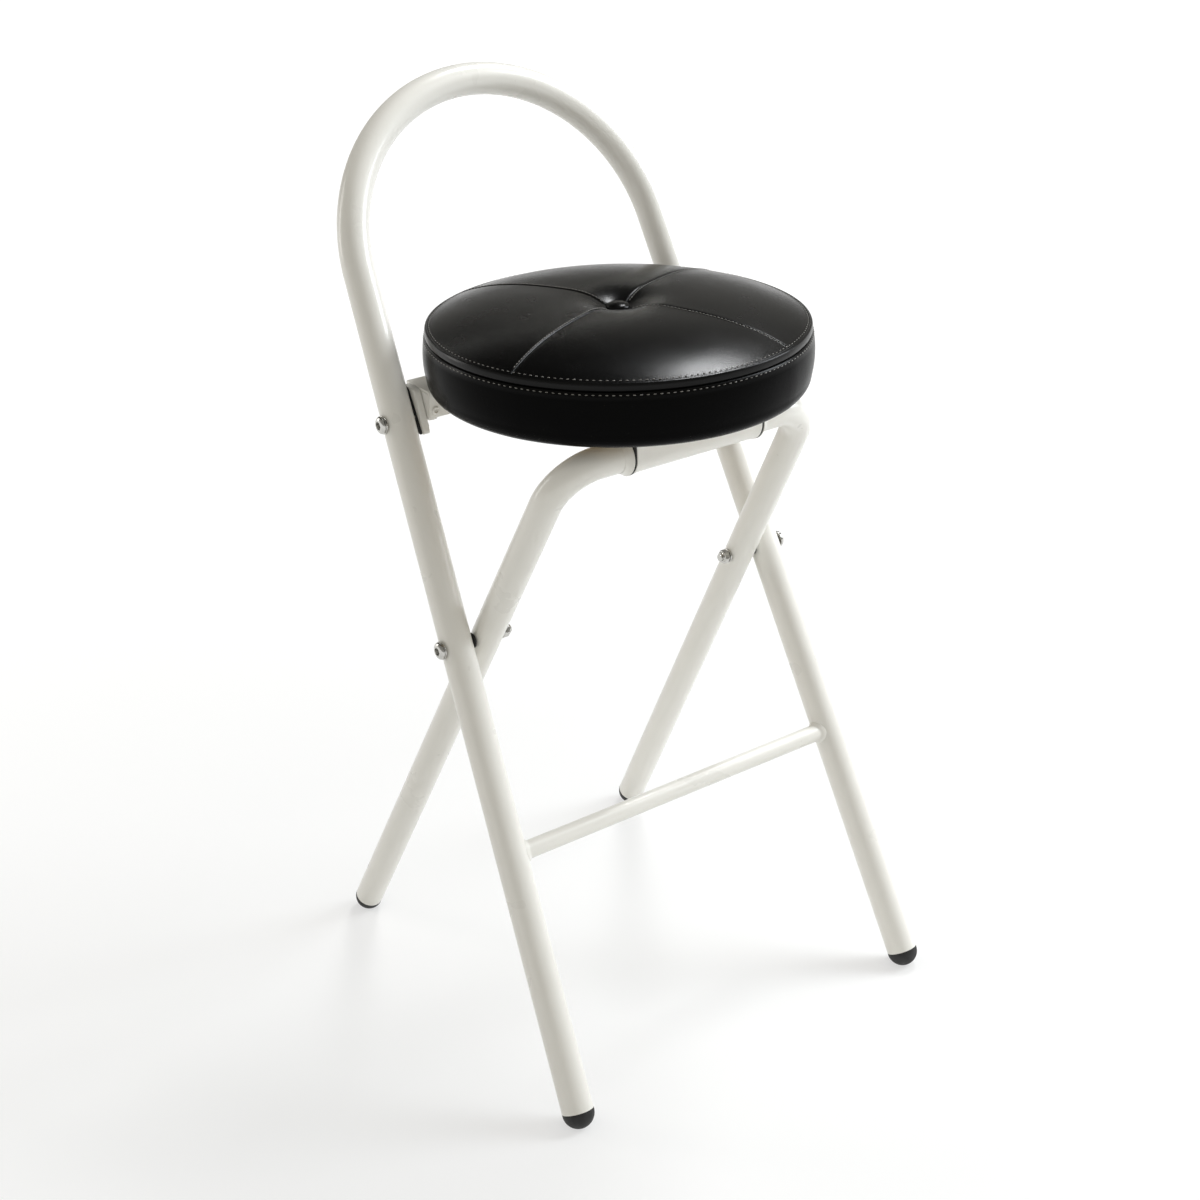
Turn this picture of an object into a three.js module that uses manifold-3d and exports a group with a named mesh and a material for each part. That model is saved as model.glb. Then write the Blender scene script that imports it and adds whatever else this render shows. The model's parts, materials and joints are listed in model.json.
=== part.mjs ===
// A folding bar stool: a hoop-backed frame and a U-shaped leg frame cross at a pivot,
// and a round cushioned seat turns on the leg frame's bar and catches on the hoop.
// X is across the stool, the sitter faces -Y, Z is up, and lengths are in millimetres.

import * as THREE from 'three';
import { mergeVertices } from 'three/addons/utils/BufferGeometryUtils.js';
import Module from 'manifold-3d';

const wasm = await Module();
wasm.setup();

const { degToRad } = THREE.MathUtils;

// Stance of the two crossed frames
const crossHeight = 341;
const hoopLean = degToRad(27.5);
const legLean = degToRad(29.3);
const hoopSplay = degToRad(2.7);
const legSplay = degToRad(3.3);
const footFlat = 0.6;

// Clearances and cutting allowance
const fitGap = 0.3;
const overrun = 5;
const weld = 0.0001;

// Hoop frame, with places measured along its plane from the cross pivot
const hoopOd = 25.4;
const hoopWall = 1.5;
const hoopHalfWidth = 154.5;
const hoopRise = 426.7;
const footrestDrop = 167;
const footrestOd = 14.5;
const footrestWall = 1.2;

// Leg frame, with places measured along its plane from the cross pivot
const legOd = 24;
const legWall = 1.5;
const frameGap = 2.6;
const barRise = 184;
const barBendRadius = 36;

// Foot tips
const tipRim = 1.5;
const tipPlugLength = 18;
const tipPlugWall = 3;

// Bolts, washers and nuts
const boltRadius = 3;
const boltHoleRadius = 3.3;
const boltEnd = 1.4;
const headRadius = 6.8;
const headHeight = 3.2;
const headEdge = 1.1;
const socketRadius = 2.9;
const socketDepth = 2.1;
const washerRadius = 7.3;
const washerThickness = 1.2;
const innerWasherRadius = 6;
const spacerRadius = 6;
const nutAcross = 10;
const nutHeight = 6;
const nutCollarRadius = 4.3;
const nutCollarHeight = 1.3;
const sleeveRadius = 5;

// Seat, with heights measured from the axis of the front bar
const undersideRise = 18.6;
const pinRise = -3.46;
const seatCentreAhead = 0.9;
const boardOverhang = 44.1;
const boardThickness = 12;

// Cushion
const cushionOverhang = 18.8;
const bandHeight = 44;
const bandBulge = 1.8;
const bottomRound = 12;
const weltWidth = 5.5;
const weltInset = 2.4;
const weltGroove = 1.6;
const weltGrooveWidth = 1.2;
const crownRise = 17;
const crownPower = 3.2;
const dimpleDepth = 8.5;
const dimpleRadius = 40;
const dimpleFloorRadius = 10;
const seamDepth = 3.2;
const seamTurn = degToRad(22);
const buttonRadius = 9.3;
const buttonHeight = 5;
const buttonEdge = 1.4;

// Front saddle and its bearings
const strapThickness = 1.5;
const strapFlange = 16;
const strapFlare = 1;
const strapFlareLength = 7;
const bearingWall = 1;
const bearingLength = 20;
const bearingLip = 1.2;
const barCollarLength = 6.5;
const barCollarTaperRise = 0.9;
const barCollarInset = 15.4;

// Rear rail, pin plates and catches, with places measured from the catch pin
const railThickness = 2.2;
const railBend = 3;
const railFront = 12;
const railDepth = 34;
const railWebDrop = 22;
const pinPadThickness = 0.8;
const pinPadReach = 4.7;
const pinPlateThickness = 6;
const pinPlateFront = 8;
const pinPlateBack = 9;
const pinPlateDrop = 12;
const pinPlateCorner = 3;
const pinPlateLean = degToRad(20);
const catchThickness = 6;
const catchBack = 8.6;
const catchDrop = 11;
const catchFrontDrop = 2;
const catchCorner = 3;
const catchHeelCorner = 6;
const slotAngle = degToRad(61.5);
const lugLength = 22;
const lugDepth = 3.4;
const lugDrop = 18;
const rivetInset = 5.3;
const rivetRise = 6;
const rivetRadius = 1.6;
const rivetHeadRadius = 3.2;
const rivetHeadHeight = 1.2;
const rivetHollowRadius = 0.9;
const rivetHollowDepth = 0.9;

// Screws
const screwRadius = 2;
const screwHoleRadius = 2.3;
const screwHeadRadius = 4;
const screwHeadHeight = 2.2;
const screwGrip = 9;
const saddleScrewShare = 0.72;

// Facets round a full circle
const tubeFacets = 20;
const holeFacets = 16;
const washerFacets = 16;
const screwFacets = 10;
const hoopBendSteps = 22;
const barBendSteps = 8;

const materials = {
  frame: { color: 0xeeece6, roughness: 0.35, metalness: 0 },
  rubber: { color: 0x111111, roughness: 0.7, metalness: 0 },
  steel: { color: 0xb9bbbd, roughness: 0.3, metalness: 1 },
  dark: { color: 0x1b1b1b, roughness: 0.5, metalness: 0 },
  nylon: { color: 0xe9e7e0, roughness: 0.5, metalness: 0 },
  wood: { color: 0xb99a6d, roughness: 0.75, metalness: 0 },
  leather: { color: 0x0c0c0d, roughness: 0.4, metalness: 0 },
};

const sides = [['left', -1], ['right', 1]];

// Solids are joined and cut as closed meshes
function toSolid(geometry) {
  const bare = geometry.clone();
  bare.deleteAttribute('normal');
  bare.deleteAttribute('uv');
  const merged = mergeVertices(bare, weld);
  const corners = merged.index.array;
  const kept = [];
  for (let i = 0; i < corners.length; i += 3) {
    const [a, b, c] = corners.slice(i, i + 3);
    if (a !== b && b !== c && c !== a) kept.push(a, b, c);
  }
  return new wasm.Manifold(new wasm.Mesh({
    numProp: 3,
    vertProperties: new Float32Array(merged.attributes.position.array),
    triVerts: new Uint32Array(kept),
  }));
}

function fromSolid(solid) {
  const mesh = solid.getMesh();
  const geometry = new THREE.BufferGeometry();
  geometry.setAttribute('position', new THREE.BufferAttribute(mesh.vertProperties, 3));
  geometry.setIndex(new THREE.BufferAttribute(mesh.triVerts, 1));
  geometry.computeVertexNormals();
  return geometry;
}

function cut(geometry, cutters) {
  const whole = toSolid(geometry);
  return fromSolid(cutters.reduce((solid, cutter) => solid.subtract(toSolid(cutter)), whole));
}

function join(geometries) {
  const [first, ...rest] = geometries.map(toSolid);
  return fromSolid(rest.reduce((solid, other) => solid.add(other), first));
}

function addPiece(parent, name, geometry, look) {
  const mesh = new THREE.Mesh(geometry, new THREE.MeshStandardMaterial(materials[look]));
  mesh.name = name;
  parent.add(mesh);
  return mesh;
}

// A profile of [radius, distance] pairs turned about an axis
function turned(profile, facets) {
  return new THREE.LatheGeometry(profile.map(([r, d]) => new THREE.Vector2(r, d)), facets);
}

function turnedAlongX(profile, facets) {
  return turned(profile, facets).rotateZ(-Math.PI / 2);
}

function turnedAlongZ(profile, facets) {
  return turned(profile, facets).rotateX(Math.PI / 2);
}

function ringProfile(inner, outer, from, to) {
  return [[inner, from], [outer, from], [outer, to], [inner, to], [inner, from]];
}

function rodAlongX(radius, length, facets) {
  return new THREE.CylinderGeometry(radius, radius, length, facets).rotateZ(-Math.PI / 2);
}

// An outline drawn as (Y, Z) and drawn out along X, centred on x = 0
function alongX(shape, length, arcSteps) {
  const geometry = new THREE.ExtrudeGeometry(shape, {
    depth: length, bevelEnabled: false, curveSegments: arcSteps / 2,
  });
  const axes = new THREE.Matrix4().makeBasis(
    new THREE.Vector3(0, 1, 0), new THREE.Vector3(0, 0, 1), new THREE.Vector3(1, 0, 0),
  );
  return geometry.translate(0, 0, -length / 2).applyMatrix4(axes);
}

// The last radius is the lower right corner's
function roundedRectangle(left, right, bottom, top, radius, heel) {
  const shape = new THREE.Shape();
  shape.moveTo(left + radius, bottom);
  shape.lineTo(right - heel, bottom);
  shape.absarc(right - heel, bottom + heel, heel, -Math.PI / 2, 0);
  shape.lineTo(right, top - radius);
  shape.absarc(right - radius, top - radius, radius, 0, Math.PI / 2);
  shape.lineTo(left + radius, top);
  shape.absarc(left + radius, top - radius, radius, Math.PI / 2, Math.PI);
  shape.lineTo(left, bottom + radius);
  shape.absarc(left + radius, bottom + radius, radius, Math.PI, Math.PI * 1.5);
  return shape;
}

// A tube's route in a frame's own plane, with rings only where it starts, bends and ends
class TubeRoute extends THREE.Curve {
  constructor(stations) {
    super();
    this.stations = stations;
  }

  stationAt(share) {
    return this.stations[Math.round(share * (this.stations.length - 1))];
  }

  getPointAt(share, target = new THREE.Vector3()) {
    return target.copy(this.stationAt(share).point);
  }

  getTangentAt(share, target = new THREE.Vector3()) {
    return target.copy(this.stationAt(share).tangent);
  }
}

function station(x, z, tangentX, tangentZ) {
  const point = new THREE.Vector3(x, 0, z);
  return { point, tangent: new THREE.Vector3(tangentX, 0, tangentZ) };
}

// Stations clockwise round a bend, from one angle down to another
function bend(centreX, centreZ, radius, from, to, steps) {
  return Array.from({ length: steps + 1 }, (_, i) => {
    const angle = from + (to - from) * i / steps;
    const x = centreX + radius * Math.cos(angle);
    const z = centreZ + radius * Math.sin(angle);
    return station(x, z, Math.sin(angle), -Math.cos(angle));
  });
}

function tubeAlong(stations, od, wall) {
  const section = new THREE.Shape().absarc(0, 0, od / 2, 0, Math.PI * 2);
  section.holes.push(new THREE.Path().absarc(0, 0, od / 2 - wall, 0, Math.PI * 2, true));
  return new THREE.ExtrudeGeometry(section, {
    steps: stations.length - 1, curveSegments: tubeFacets / 2, extrudePath: new TubeRoute(stations),
  });
}

// Where a splayed leg's centreline lies, at a distance along its frame from the cross pivot
function legX(halfWidth, along, splay) {
  return halfWidth - along * Math.tan(splay);
}

function footAlong(od, lean) {
  return -(crossHeight - od / 2 + footFlat) / Math.cos(lean);
}

function tubeFoot(halfWidth, od, lean, splay, side) {
  const along = footAlong(od, lean) + tipRim * Math.cos(splay);
  return station(side * legX(halfWidth, along, splay), along, Math.sin(splay), -side * Math.cos(splay));
}

// Washers stand upright beside the splayed tubes, so they keep their slant clear of them
const tubeGap = fitGap + Math.max(
  washerRadius * Math.tan(hoopSplay),
  Math.max(innerWasherRadius, spacerRadius) * Math.tan(legSplay),
);
const legHalfWidth = hoopHalfWidth - hoopOd / 2 - frameGap - legOd / 2;
const hoopBendRadius = (hoopHalfWidth - hoopRise * Math.tan(hoopSplay))
  / (Math.cos(hoopSplay) - Math.tan(hoopSplay) * (1 - Math.sin(hoopSplay)));
const barHalfWidth = legHalfWidth - (barRise - barBendRadius) * Math.tan(legSplay)
  - barBendRadius / Math.cos(legSplay);

// The seat lies level on the front bar and on the catch pins, and its board reaches past both
const catchRise = (barRise * Math.cos(legLean) + pinRise) / Math.cos(hoopLean);
const pinBack = catchRise * Math.sin(hoopLean) + barRise * Math.sin(legLean);
const seatCentreBack = pinBack / 2 - seatCentreAhead;
const boardRadius = pinBack / 2 + boardOverhang;
const cushionRadius = boardRadius + cushionOverhang;

// The saddle and a collar at each end of it fill the bar's straight length
const saddleLength = 2 * (barHalfWidth - barCollarInset - barCollarLength - bearingLip - 2 * fitGap);

function hoopStations() {
  const centreZ = hoopRise - hoopBendRadius;
  const top = bend(0, centreZ, hoopBendRadius, Math.PI - hoopSplay, hoopSplay, hoopBendSteps);
  const ends = sides.map(([, side]) => tubeFoot(hoopHalfWidth, hoopOd, hoopLean, hoopSplay, side));
  return [ends[0], ...top, ends[1]];
}

function legStations() {
  const centreZ = barRise - barBendRadius;
  const left = bend(-barHalfWidth, centreZ, barBendRadius, Math.PI - legSplay, Math.PI / 2, barBendSteps);
  const right = bend(barHalfWidth, centreZ, barBendRadius, Math.PI / 2, legSplay, barBendSteps);
  const ends = sides.map(([, side]) => tubeFoot(legHalfWidth, legOd, legLean, legSplay, side));
  return [ends[0], ...left, ...right, ends[1]];
}

function hoopTube() {
  const across = 2 * hoopHalfWidth + 2 * hoopOd;
  const holes = [0, catchRise].map((rise) => (
    rodAlongX(boltHoleRadius, across, holeFacets).translate(0, 0, rise)
  ));
  return cut(tubeAlong(hoopStations(), hoopOd, hoopWall), holes);
}

function legTube() {
  const across = 2 * legHalfWidth + 2 * legOd;
  const hole = rodAlongX(boltHoleRadius, across, holeFacets);
  return cut(tubeAlong(legStations(), legOd, legWall), [hole]);
}

// The footrest's ends are coped to the hoop's legs
function footrestBar() {
  const reach = legX(hoopHalfWidth, -footrestDrop, hoopSplay);
  const profile = ringProfile(footrestOd / 2 - footrestWall, footrestOd / 2, -reach, reach);
  const legs = sides.map(([, side]) => (
    new THREE.CylinderGeometry(hoopOd / 2 + fitGap, hoopOd / 2 + fitGap, 2 * hoopOd, 2 * tubeFacets)
      .rotateX(Math.PI / 2)
      .rotateY(-side * hoopSplay)
      .translate(side * reach, 0, -footrestDrop)
  ));
  const beyond = sides.map(([, side]) => (
    new THREE.BoxGeometry(hoopOd, hoopOd, hoopOd).translate(side * (reach + hoopOd / 2), 0, -footrestDrop)
  ));
  const bar = turnedAlongX(profile, tubeFacets).translate(0, 0, -footrestDrop);
  return cut(bar, [...legs, ...beyond]);
}

// A rubber tip: a plug inside the tube and a dome outside, flat where it stands
function footTip(frame, name, side, halfWidth, od, wall, lean, splay) {
  const radius = od / 2;
  const plug = radius - wall - fitGap;
  const bore = plug - tipPlugWall;
  const domeSteps = 6;
  const dome = Array.from({ length: domeSteps + 1 }, (_, i) => {
    const angle = -Math.PI / 2 * (1 - i / domeSteps);
    return [radius * Math.cos(angle), radius * Math.sin(angle)];
  });
  dome[0][0] = 0;
  const rim = tipRim - fitGap;
  const profile = [...dome, [radius, rim], [plug, rim], [plug, rim + tipPlugLength],
    [bore, rim + tipPlugLength], [bore, rim], [0, rim]];
  const along = footAlong(od, lean);
  const place = new THREE.Matrix4().makeTranslation(side * legX(halfWidth, along, splay), 0, along);
  place.multiply(new THREE.Matrix4().makeRotationY(-side * splay));
  place.premultiply(frame.matrix);
  const tip = turnedAlongZ(profile, tubeFacets).applyMatrix4(place);
  const ground = new THREE.BoxGeometry(4 * hoopHalfWidth, 4 * hoopHalfWidth, od).translate(0, 0, -od / 2);
  const upright = cut(tip, [ground]).applyMatrix4(frame.matrix.clone().invert());
  addPiece(frame, `${name}_${side < 0 ? 'left' : 'right'}`, upright, 'rubber');
}

// A button-head bolt along X with its head's underside at x = 0 and its shank towards -X
function buttonBolt(length) {
  const headSteps = 5;
  const crown = Array.from({ length: headSteps + 1 }, (_, i) => {
    const angle = Math.PI / 2 * (1 - i / headSteps);
    return [headRadius * Math.cos(angle), headEdge + (headHeight - headEdge) * Math.sin(angle)];
  }).reverse();
  crown[crown.length - 1][0] = 0;
  const profile = [[0, -length], [boltRadius, -length], [boltRadius, 0], [headRadius, 0], ...crown];
  const hexagon = 6;
  const socket = rodAlongX(socketRadius, 2 * socketDepth, hexagon).translate(headHeight, 0, 0);
  return cut(turnedAlongX(profile, washerFacets), [socket]);
}

// A lock nut along X from x = 0 towards -X, with its round collar on the far side
function lockNut() {
  const hexagon = 6;
  const corner = nutAcross / 2 / Math.cos(Math.PI / hexagon);
  const body = nutHeight - nutCollarHeight;
  const prism = rodAlongX(corner, body, hexagon).translate(-body / 2, 0, 0);
  const collar = rodAlongX(nutCollarRadius, nutCollarHeight + body / 2, washerFacets)
    .translate(-body - nutCollarHeight / 2 + body / 4, 0, 0);
  const bore = rodAlongX(boltHoleRadius, 2 * nutHeight + 2 * overrun, holeFacets);
  return cut(join([prism, collar]), [bore]);
}

function washer(radius, thickness) {
  return turnedAlongX(ringProfile(boltHoleRadius, radius, -thickness, 0), washerFacets);
}

// Place one piece of a bolt stack on the left or right, with its x given on the right
function addStacked(parent, name, geometry, look, x, along) {
  sides.forEach(([word, side]) => {
    const piece = addPiece(parent, `${name}_${word}`, geometry.clone(), look);
    piece.position.set(side * x, 0, along);
    piece.rotation.z = side < 0 ? Math.PI : 0;
  });
}

function addCrossPivots(frame) {
  const washerOut = hoopHalfWidth + hoopOd / 2 + tubeGap + washerThickness;
  const head = washerOut + fitGap;
  const spacerOut = hoopHalfWidth - hoopOd / 2 - tubeGap;
  const spacerIn = legHalfWidth + legOd / 2 + tubeGap;
  const innerWasher = legHalfWidth - legOd / 2 - tubeGap;
  const nut = innerWasher - washerThickness - fitGap;
  addStacked(frame, 'cross_bolt', buttonBolt(head - nut + nutHeight + boltEnd), 'steel', head, 0);
  addStacked(frame, 'cross_washer', washer(washerRadius, washerThickness), 'steel', washerOut, 0);
  addStacked(frame, 'cross_spacer', washer(spacerRadius, spacerOut - spacerIn), 'dark', spacerOut, 0);
  addStacked(frame, 'cross_inner_washer', washer(innerWasherRadius, washerThickness), 'steel', innerWasher, 0);
  addStacked(frame, 'cross_nut', lockNut(), 'steel', nut, 0);
}

const railFrontY = pinBack - railFront;

// Inwards from each of the hoop's legs come a pad, a pin plate, the sleeve and the nut,
// and the seat's catches drop over the sleeves
const pinPlateTop = undersideRise - pinRise;
const pinX = legX(hoopHalfWidth, catchRise, hoopSplay);
const padOut = pinX - hoopOd / 2 - pinPlateTop * Math.tan(hoopSplay) - fitGap;
const pinPlateOut = padOut - pinPadThickness - fitGap;
const sleeveOut = pinPlateOut - pinPlateThickness - fitGap;
const catchOut = sleeveOut - fitGap;
const sleeveLength = catchThickness + 2 * fitGap;
const catchNutOut = sleeveOut - sleeveLength - fitGap;

function addCatchPins(frame) {
  const washerOut = pinX + hoopOd / 2 + tubeGap + washerThickness;
  const head = washerOut + fitGap;
  const bolt = buttonBolt(head - catchNutOut + nutHeight + boltEnd);
  const sleeve = turnedAlongX(ringProfile(boltHoleRadius, sleeveRadius, -sleeveLength, 0), washerFacets);
  addStacked(frame, 'catch_bolt', bolt, 'steel', head, catchRise);
  addStacked(frame, 'catch_washer', washer(washerRadius, washerThickness), 'steel', washerOut, catchRise);
  addStacked(frame, 'catch_sleeve', sleeve, 'steel', sleeveOut, catchRise);
  addStacked(frame, 'catch_nut', lockNut(), 'steel', catchNutOut, catchRise);
}

// White plates beside the rail's ends stand on the pins and lean back a little,
// and the narrow black pads behind them lean with the tube
function addPinPlates(frame) {
  const rows = [['pin_pad', padOut, pinPadThickness, -pinPadReach, pinPadReach, hoopLean, 'dark'],
    ['pin_plate', pinPlateOut, pinPlateThickness, -pinPlateFront, pinPlateBack, pinPlateLean, 'nylon']];
  rows.forEach(([name, out, thickness, front, back, lean, look]) => {
    const outline = roundedRectangle(
      front, back, -pinPlateDrop, pinPlateTop, pinPlateCorner, pinPlateCorner,
    );
    const leaning = new THREE.Matrix4().makeShear(0, 0, 0, 0, 0, Math.tan(lean));
    const hole = rodAlongX(boltHoleRadius, 2 * thickness, holeFacets);
    const plate = cut(alongX(outline, thickness, holeFacets / 4).applyMatrix4(leaning), [hole]);
    sides.forEach(([word, side]) => {
      const piece = addPiece(frame, `${name}_${word}`, plate.clone(), look);
      piece.position.set(side * (out - thickness / 2), 0, catchRise);
      piece.rotation.x = hoopLean;
    });
  });
}

const bearingRadius = legOd / 2 + fitGap + bearingWall;
const strapInner = bearingRadius + fitGap;
const strapOuter = strapInner + strapThickness;
const flangeReach = strapOuter + strapFlange;
const flangeScrewY = strapOuter + strapFlange / 2;

// White collars on the bar that keep the saddle in the middle
function addBarCollars(frame) {
  const start = saddleLength / 2 + bearingLip + 2 * fitGap;
  const inner = legOd / 2 + fitGap;
  const outer = strapOuter + strapFlare;
  const profile = [[inner, 0], [outer, 0], [legOd / 2 + barCollarTaperRise, barCollarLength],
    [inner, barCollarLength], [inner, 0]];
  addStacked(frame, 'bar_collar', turnedAlongX(profile, tubeFacets), 'frame', start, barRise);
}

// The U outline of the strap round the bar, open towards the board
function saddleOutline(radius, top) {
  const shape = new THREE.Shape();
  shape.moveTo(-radius, top);
  shape.lineTo(-radius, 0);
  shape.absarc(0, 0, radius, Math.PI, Math.PI * 2);
  shape.lineTo(radius, top);
  return shape;
}

function holesAlongZ(places, radius, length, z) {
  return places.map(([x, y]) => (
    new THREE.CylinderGeometry(radius, radius, length, holeFacets).rotateX(Math.PI / 2).translate(x, y, z)
  ));
}

function saddleScrewPlaces() {
  const reach = saddleScrewShare * saddleLength / 2;
  return sides.flatMap(([, x]) => sides.map(([, y]) => [x * reach, y * flangeScrewY]));
}

function frontSaddle() {
  const top = undersideRise;
  const strap = alongX(saddleOutline(strapOuter, top), saddleLength, tubeFacets / 2);
  const flange = new THREE.BoxGeometry(saddleLength, 2 * flangeReach, strapThickness)
    .translate(0, 0, top - strapThickness / 2);
  const flares = sides.map(([, side]) => (
    new THREE.CylinderGeometry(strapOuter + strapFlare, strapOuter, strapFlareLength, tubeFacets)
      .rotateZ(-side * Math.PI / 2)
      .translate(side * (saddleLength - strapFlareLength) / 2, 0, 0)
  ));
  const hollow = alongX(saddleOutline(strapInner, top + overrun), saddleLength + 2 * overrun, tubeFacets / 2);
  const holes = holesAlongZ(saddleScrewPlaces(), screwHoleRadius, 2 * overrun, top);
  return cut(join([strap, flange, ...flares]), [hollow, ...holes]);
}

// A nylon block that fills the strap's end and carries the bar, with a lip outside the strap
function saddleBearing(side) {
  const top = undersideRise - fitGap;
  const block = alongX(saddleOutline(bearingRadius, top), bearingLength, tubeFacets / 2)
    .translate(side * (saddleLength - bearingLength) / 2, 0, 0);
  const lipReach = bearingLip + fitGap;
  const lip = alongX(saddleOutline(strapOuter + strapFlare, top), bearingLip, tubeFacets / 2)
    .translate(side * (saddleLength / 2 + lipReach - bearingLip / 2), 0, 0);
  const neck = alongX(saddleOutline(bearingRadius, top), lipReach + overrun, tubeFacets / 2)
    .translate(side * (saddleLength / 2 + (lipReach - overrun) / 2), 0, 0);
  const neckEnd = new THREE.BoxGeometry(saddleLength, 4 * strapOuter, 4 * strapOuter)
    .translate(side * (saddleLength + lipReach), 0, 0);
  const bore = rodAlongX(legOd / 2 + fitGap, 2 * saddleLength, tubeFacets);
  return cut(join([block, neck, lip]), [bore, neckEnd]);
}

const railHalfLength = pinPlateOut - pinPlateThickness - fitGap;
const lugTop = undersideRise - railThickness - fitGap;
const catchFront = railFront - railThickness - fitGap;
const rivetX = pinPlateOut - pinPlateThickness - rivetInset;
const rivetZ = undersideRise - railWebDrop + rivetRise;
const rivetHoleRadius = rivetRadius + fitGap;
const lugBack = railFrontY + railThickness + fitGap + lugDepth;
const railScrewY = railFrontY + railDepth - railThickness - screwHeadRadius;

function railScrewPlaces() {
  return sides.map(([, side]) => [side * boardRadius / 2, railScrewY]);
}

function rivetHole(side) {
  return new THREE.CylinderGeometry(rivetHoleRadius, rivetHoleRadius, 4 * lugDepth, holeFacets)
    .translate(side * rivetX, railFrontY, rivetZ);
}

// The pressed rail under the seat's rear: a top plate and a front web
function rearRail() {
  const top = undersideRise;
  const inner = railBend - railThickness;
  const shape = new THREE.Shape();
  shape.moveTo(0, top - railWebDrop);
  shape.lineTo(railThickness, top - railWebDrop);
  shape.lineTo(railThickness, top - railBend);
  shape.absarc(railBend, top - railBend, inner, Math.PI, Math.PI / 2, true);
  shape.lineTo(railDepth, top - railThickness);
  shape.lineTo(railDepth, top);
  shape.lineTo(railBend, top);
  shape.absarc(railBend, top - railBend, railBend, Math.PI / 2, Math.PI);
  const rail = alongX(shape, 2 * railHalfLength, holeFacets / 4).translate(0, railFrontY, 0);
  const screwHoles = holesAlongZ(railScrewPlaces(), screwHoleRadius, 2 * overrun, top);
  return cut(rail, [...screwHoles, ...sides.map(([, side]) => rivetHole(side))]);
}

// A catch: a hook that opens down and forward round the pin's sleeve, and a lug inside the rail
function seatCatch(side) {
  const slotRadius = sleeveRadius + fitGap;
  const catchX = side * (catchOut - catchThickness / 2);
  const outline = roundedRectangle(
    -catchFront, catchBack, -catchDrop, lugTop - pinRise, catchCorner, catchHeelCorner,
  );
  const hook = alongX(outline, catchThickness, holeFacets / 4).translate(catchX, pinBack, pinRise);
  const lug = new THREE.BoxGeometry(lugLength + overrun, lugDepth, lugDrop).translate(
    side * (catchOut - catchThickness - (lugLength - overrun) / 2),
    lugBack - lugDepth / 2,
    lugTop - lugDrop / 2,
  );
  const across = catchThickness + 2 * overrun;
  const slotLength = 2 * (catchDrop + catchBack);
  const seatOfPin = rodAlongX(slotRadius, across, tubeFacets);
  const slot = new THREE.BoxGeometry(across, 2 * slotRadius, slotLength)
    .translate(0, 0, -slotLength / 2)
    .rotateX(-(Math.PI / 2 - slotAngle));
  const mouthDepth = catchDrop + overrun;
  const mouth = new THREE.BoxGeometry(across, catchFront + overrun, mouthDepth)
    .translate(0, -(catchFront + overrun) / 2, -catchFrontDrop - mouthDepth / 2);
  const hollows = [seatOfPin, slot, mouth].map((shape) => shape.translate(catchX, pinBack, pinRise));
  return cut(join([hook, lug]), [...hollows, rivetHole(side)]);
}

function seatBoard() {
  const bottom = undersideRise + fitGap;
  const board = new THREE.CylinderGeometry(boardRadius, boardRadius, boardThickness, 2 * tubeFacets)
    .rotateX(Math.PI / 2)
    .translate(0, seatCentreBack, bottom + boardThickness / 2);
  const places = [...saddleScrewPlaces(), ...railScrewPlaces()];
  return cut(board, holesAlongZ(places, screwHoleRadius, 2 * (screwGrip + fitGap), bottom));
}

// A pan-head screw with its shank along +Z from the underside of its head at z = 0
function panScrew(headWide, grip) {
  const chamfer = screwHeadHeight / 2;
  return [[0, -screwHeadHeight], [headWide - chamfer, -screwHeadHeight], [headWide, -chamfer],
    [headWide, 0], [screwRadius, 0], [screwRadius, grip], [0, grip]];
}

function addScrews(seat) {
  const rows = [['saddle', saddleScrewPlaces(), strapThickness], ['rail', railScrewPlaces(), railThickness]];
  rows.forEach(([word, places, plate]) => places.forEach(([x, y], i) => {
    const screw = turnedAlongZ(panScrew(screwHeadRadius, screwGrip), screwFacets);
    const z = undersideRise - plate - fitGap;
    addPiece(seat, `${word}_screw_${i + 1}`, screw, 'steel').position.set(x, y, z);
  }));
}

// Hollow rivets through the rail's web hold the catches' lugs
function addRivets(seat) {
  const hollowEnd = rivetHollowDepth - rivetHeadHeight;
  const grip = lugBack - railFrontY + fitGap;
  const profile = [[0, hollowEnd], [rivetHollowRadius, hollowEnd], [rivetHollowRadius, -rivetHeadHeight],
    [rivetHeadRadius - rivetHeadHeight, -rivetHeadHeight], [rivetHeadRadius, 0], [rivetRadius, 0],
    [rivetRadius, grip], [0, grip]];
  sides.forEach(([word, side]) => {
    const rivet = addPiece(seat, `catch_rivet_${word}`, turned(profile, screwFacets), 'frame');
    rivet.position.set(side * rivetX, railFrontY - fitGap, rivetZ);
  });
}

const crownRadius = cushionRadius - weltInset - weltGroove;
const weltTop = bandHeight + weltWidth;
const crownEdge = weltTop + weltGrooveWidth;

// Where the cushion's lines lie between one seam and the next, and how deep the seam is there
const lineShares = [0, 0.035, 0.09, 0.2, 0.35, 0.5, 0.65, 0.8, 0.91, 0.965];
const depthShares = [1, 0.4, 0.06, 0, 0, 0, 0, 0, 0.06, 0.4];
const widestShare = Math.max(...lineShares.map((share, i) => (lineShares[i + 1] ?? 1) - share));

// Height of the crown over the underside, with the tuft's dimple at the middle
function crownHeight(radius) {
  const swell = crownRise * (1 - (radius / crownRadius) ** crownPower);
  const reach = Math.max(0, radius - dimpleFloorRadius) / (dimpleRadius - dimpleFloorRadius);
  const dip = reach < 1 ? dimpleDepth * (1 + Math.cos(Math.PI * reach)) / 2 : 0;
  return crownEdge + swell - dip;
}

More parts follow.
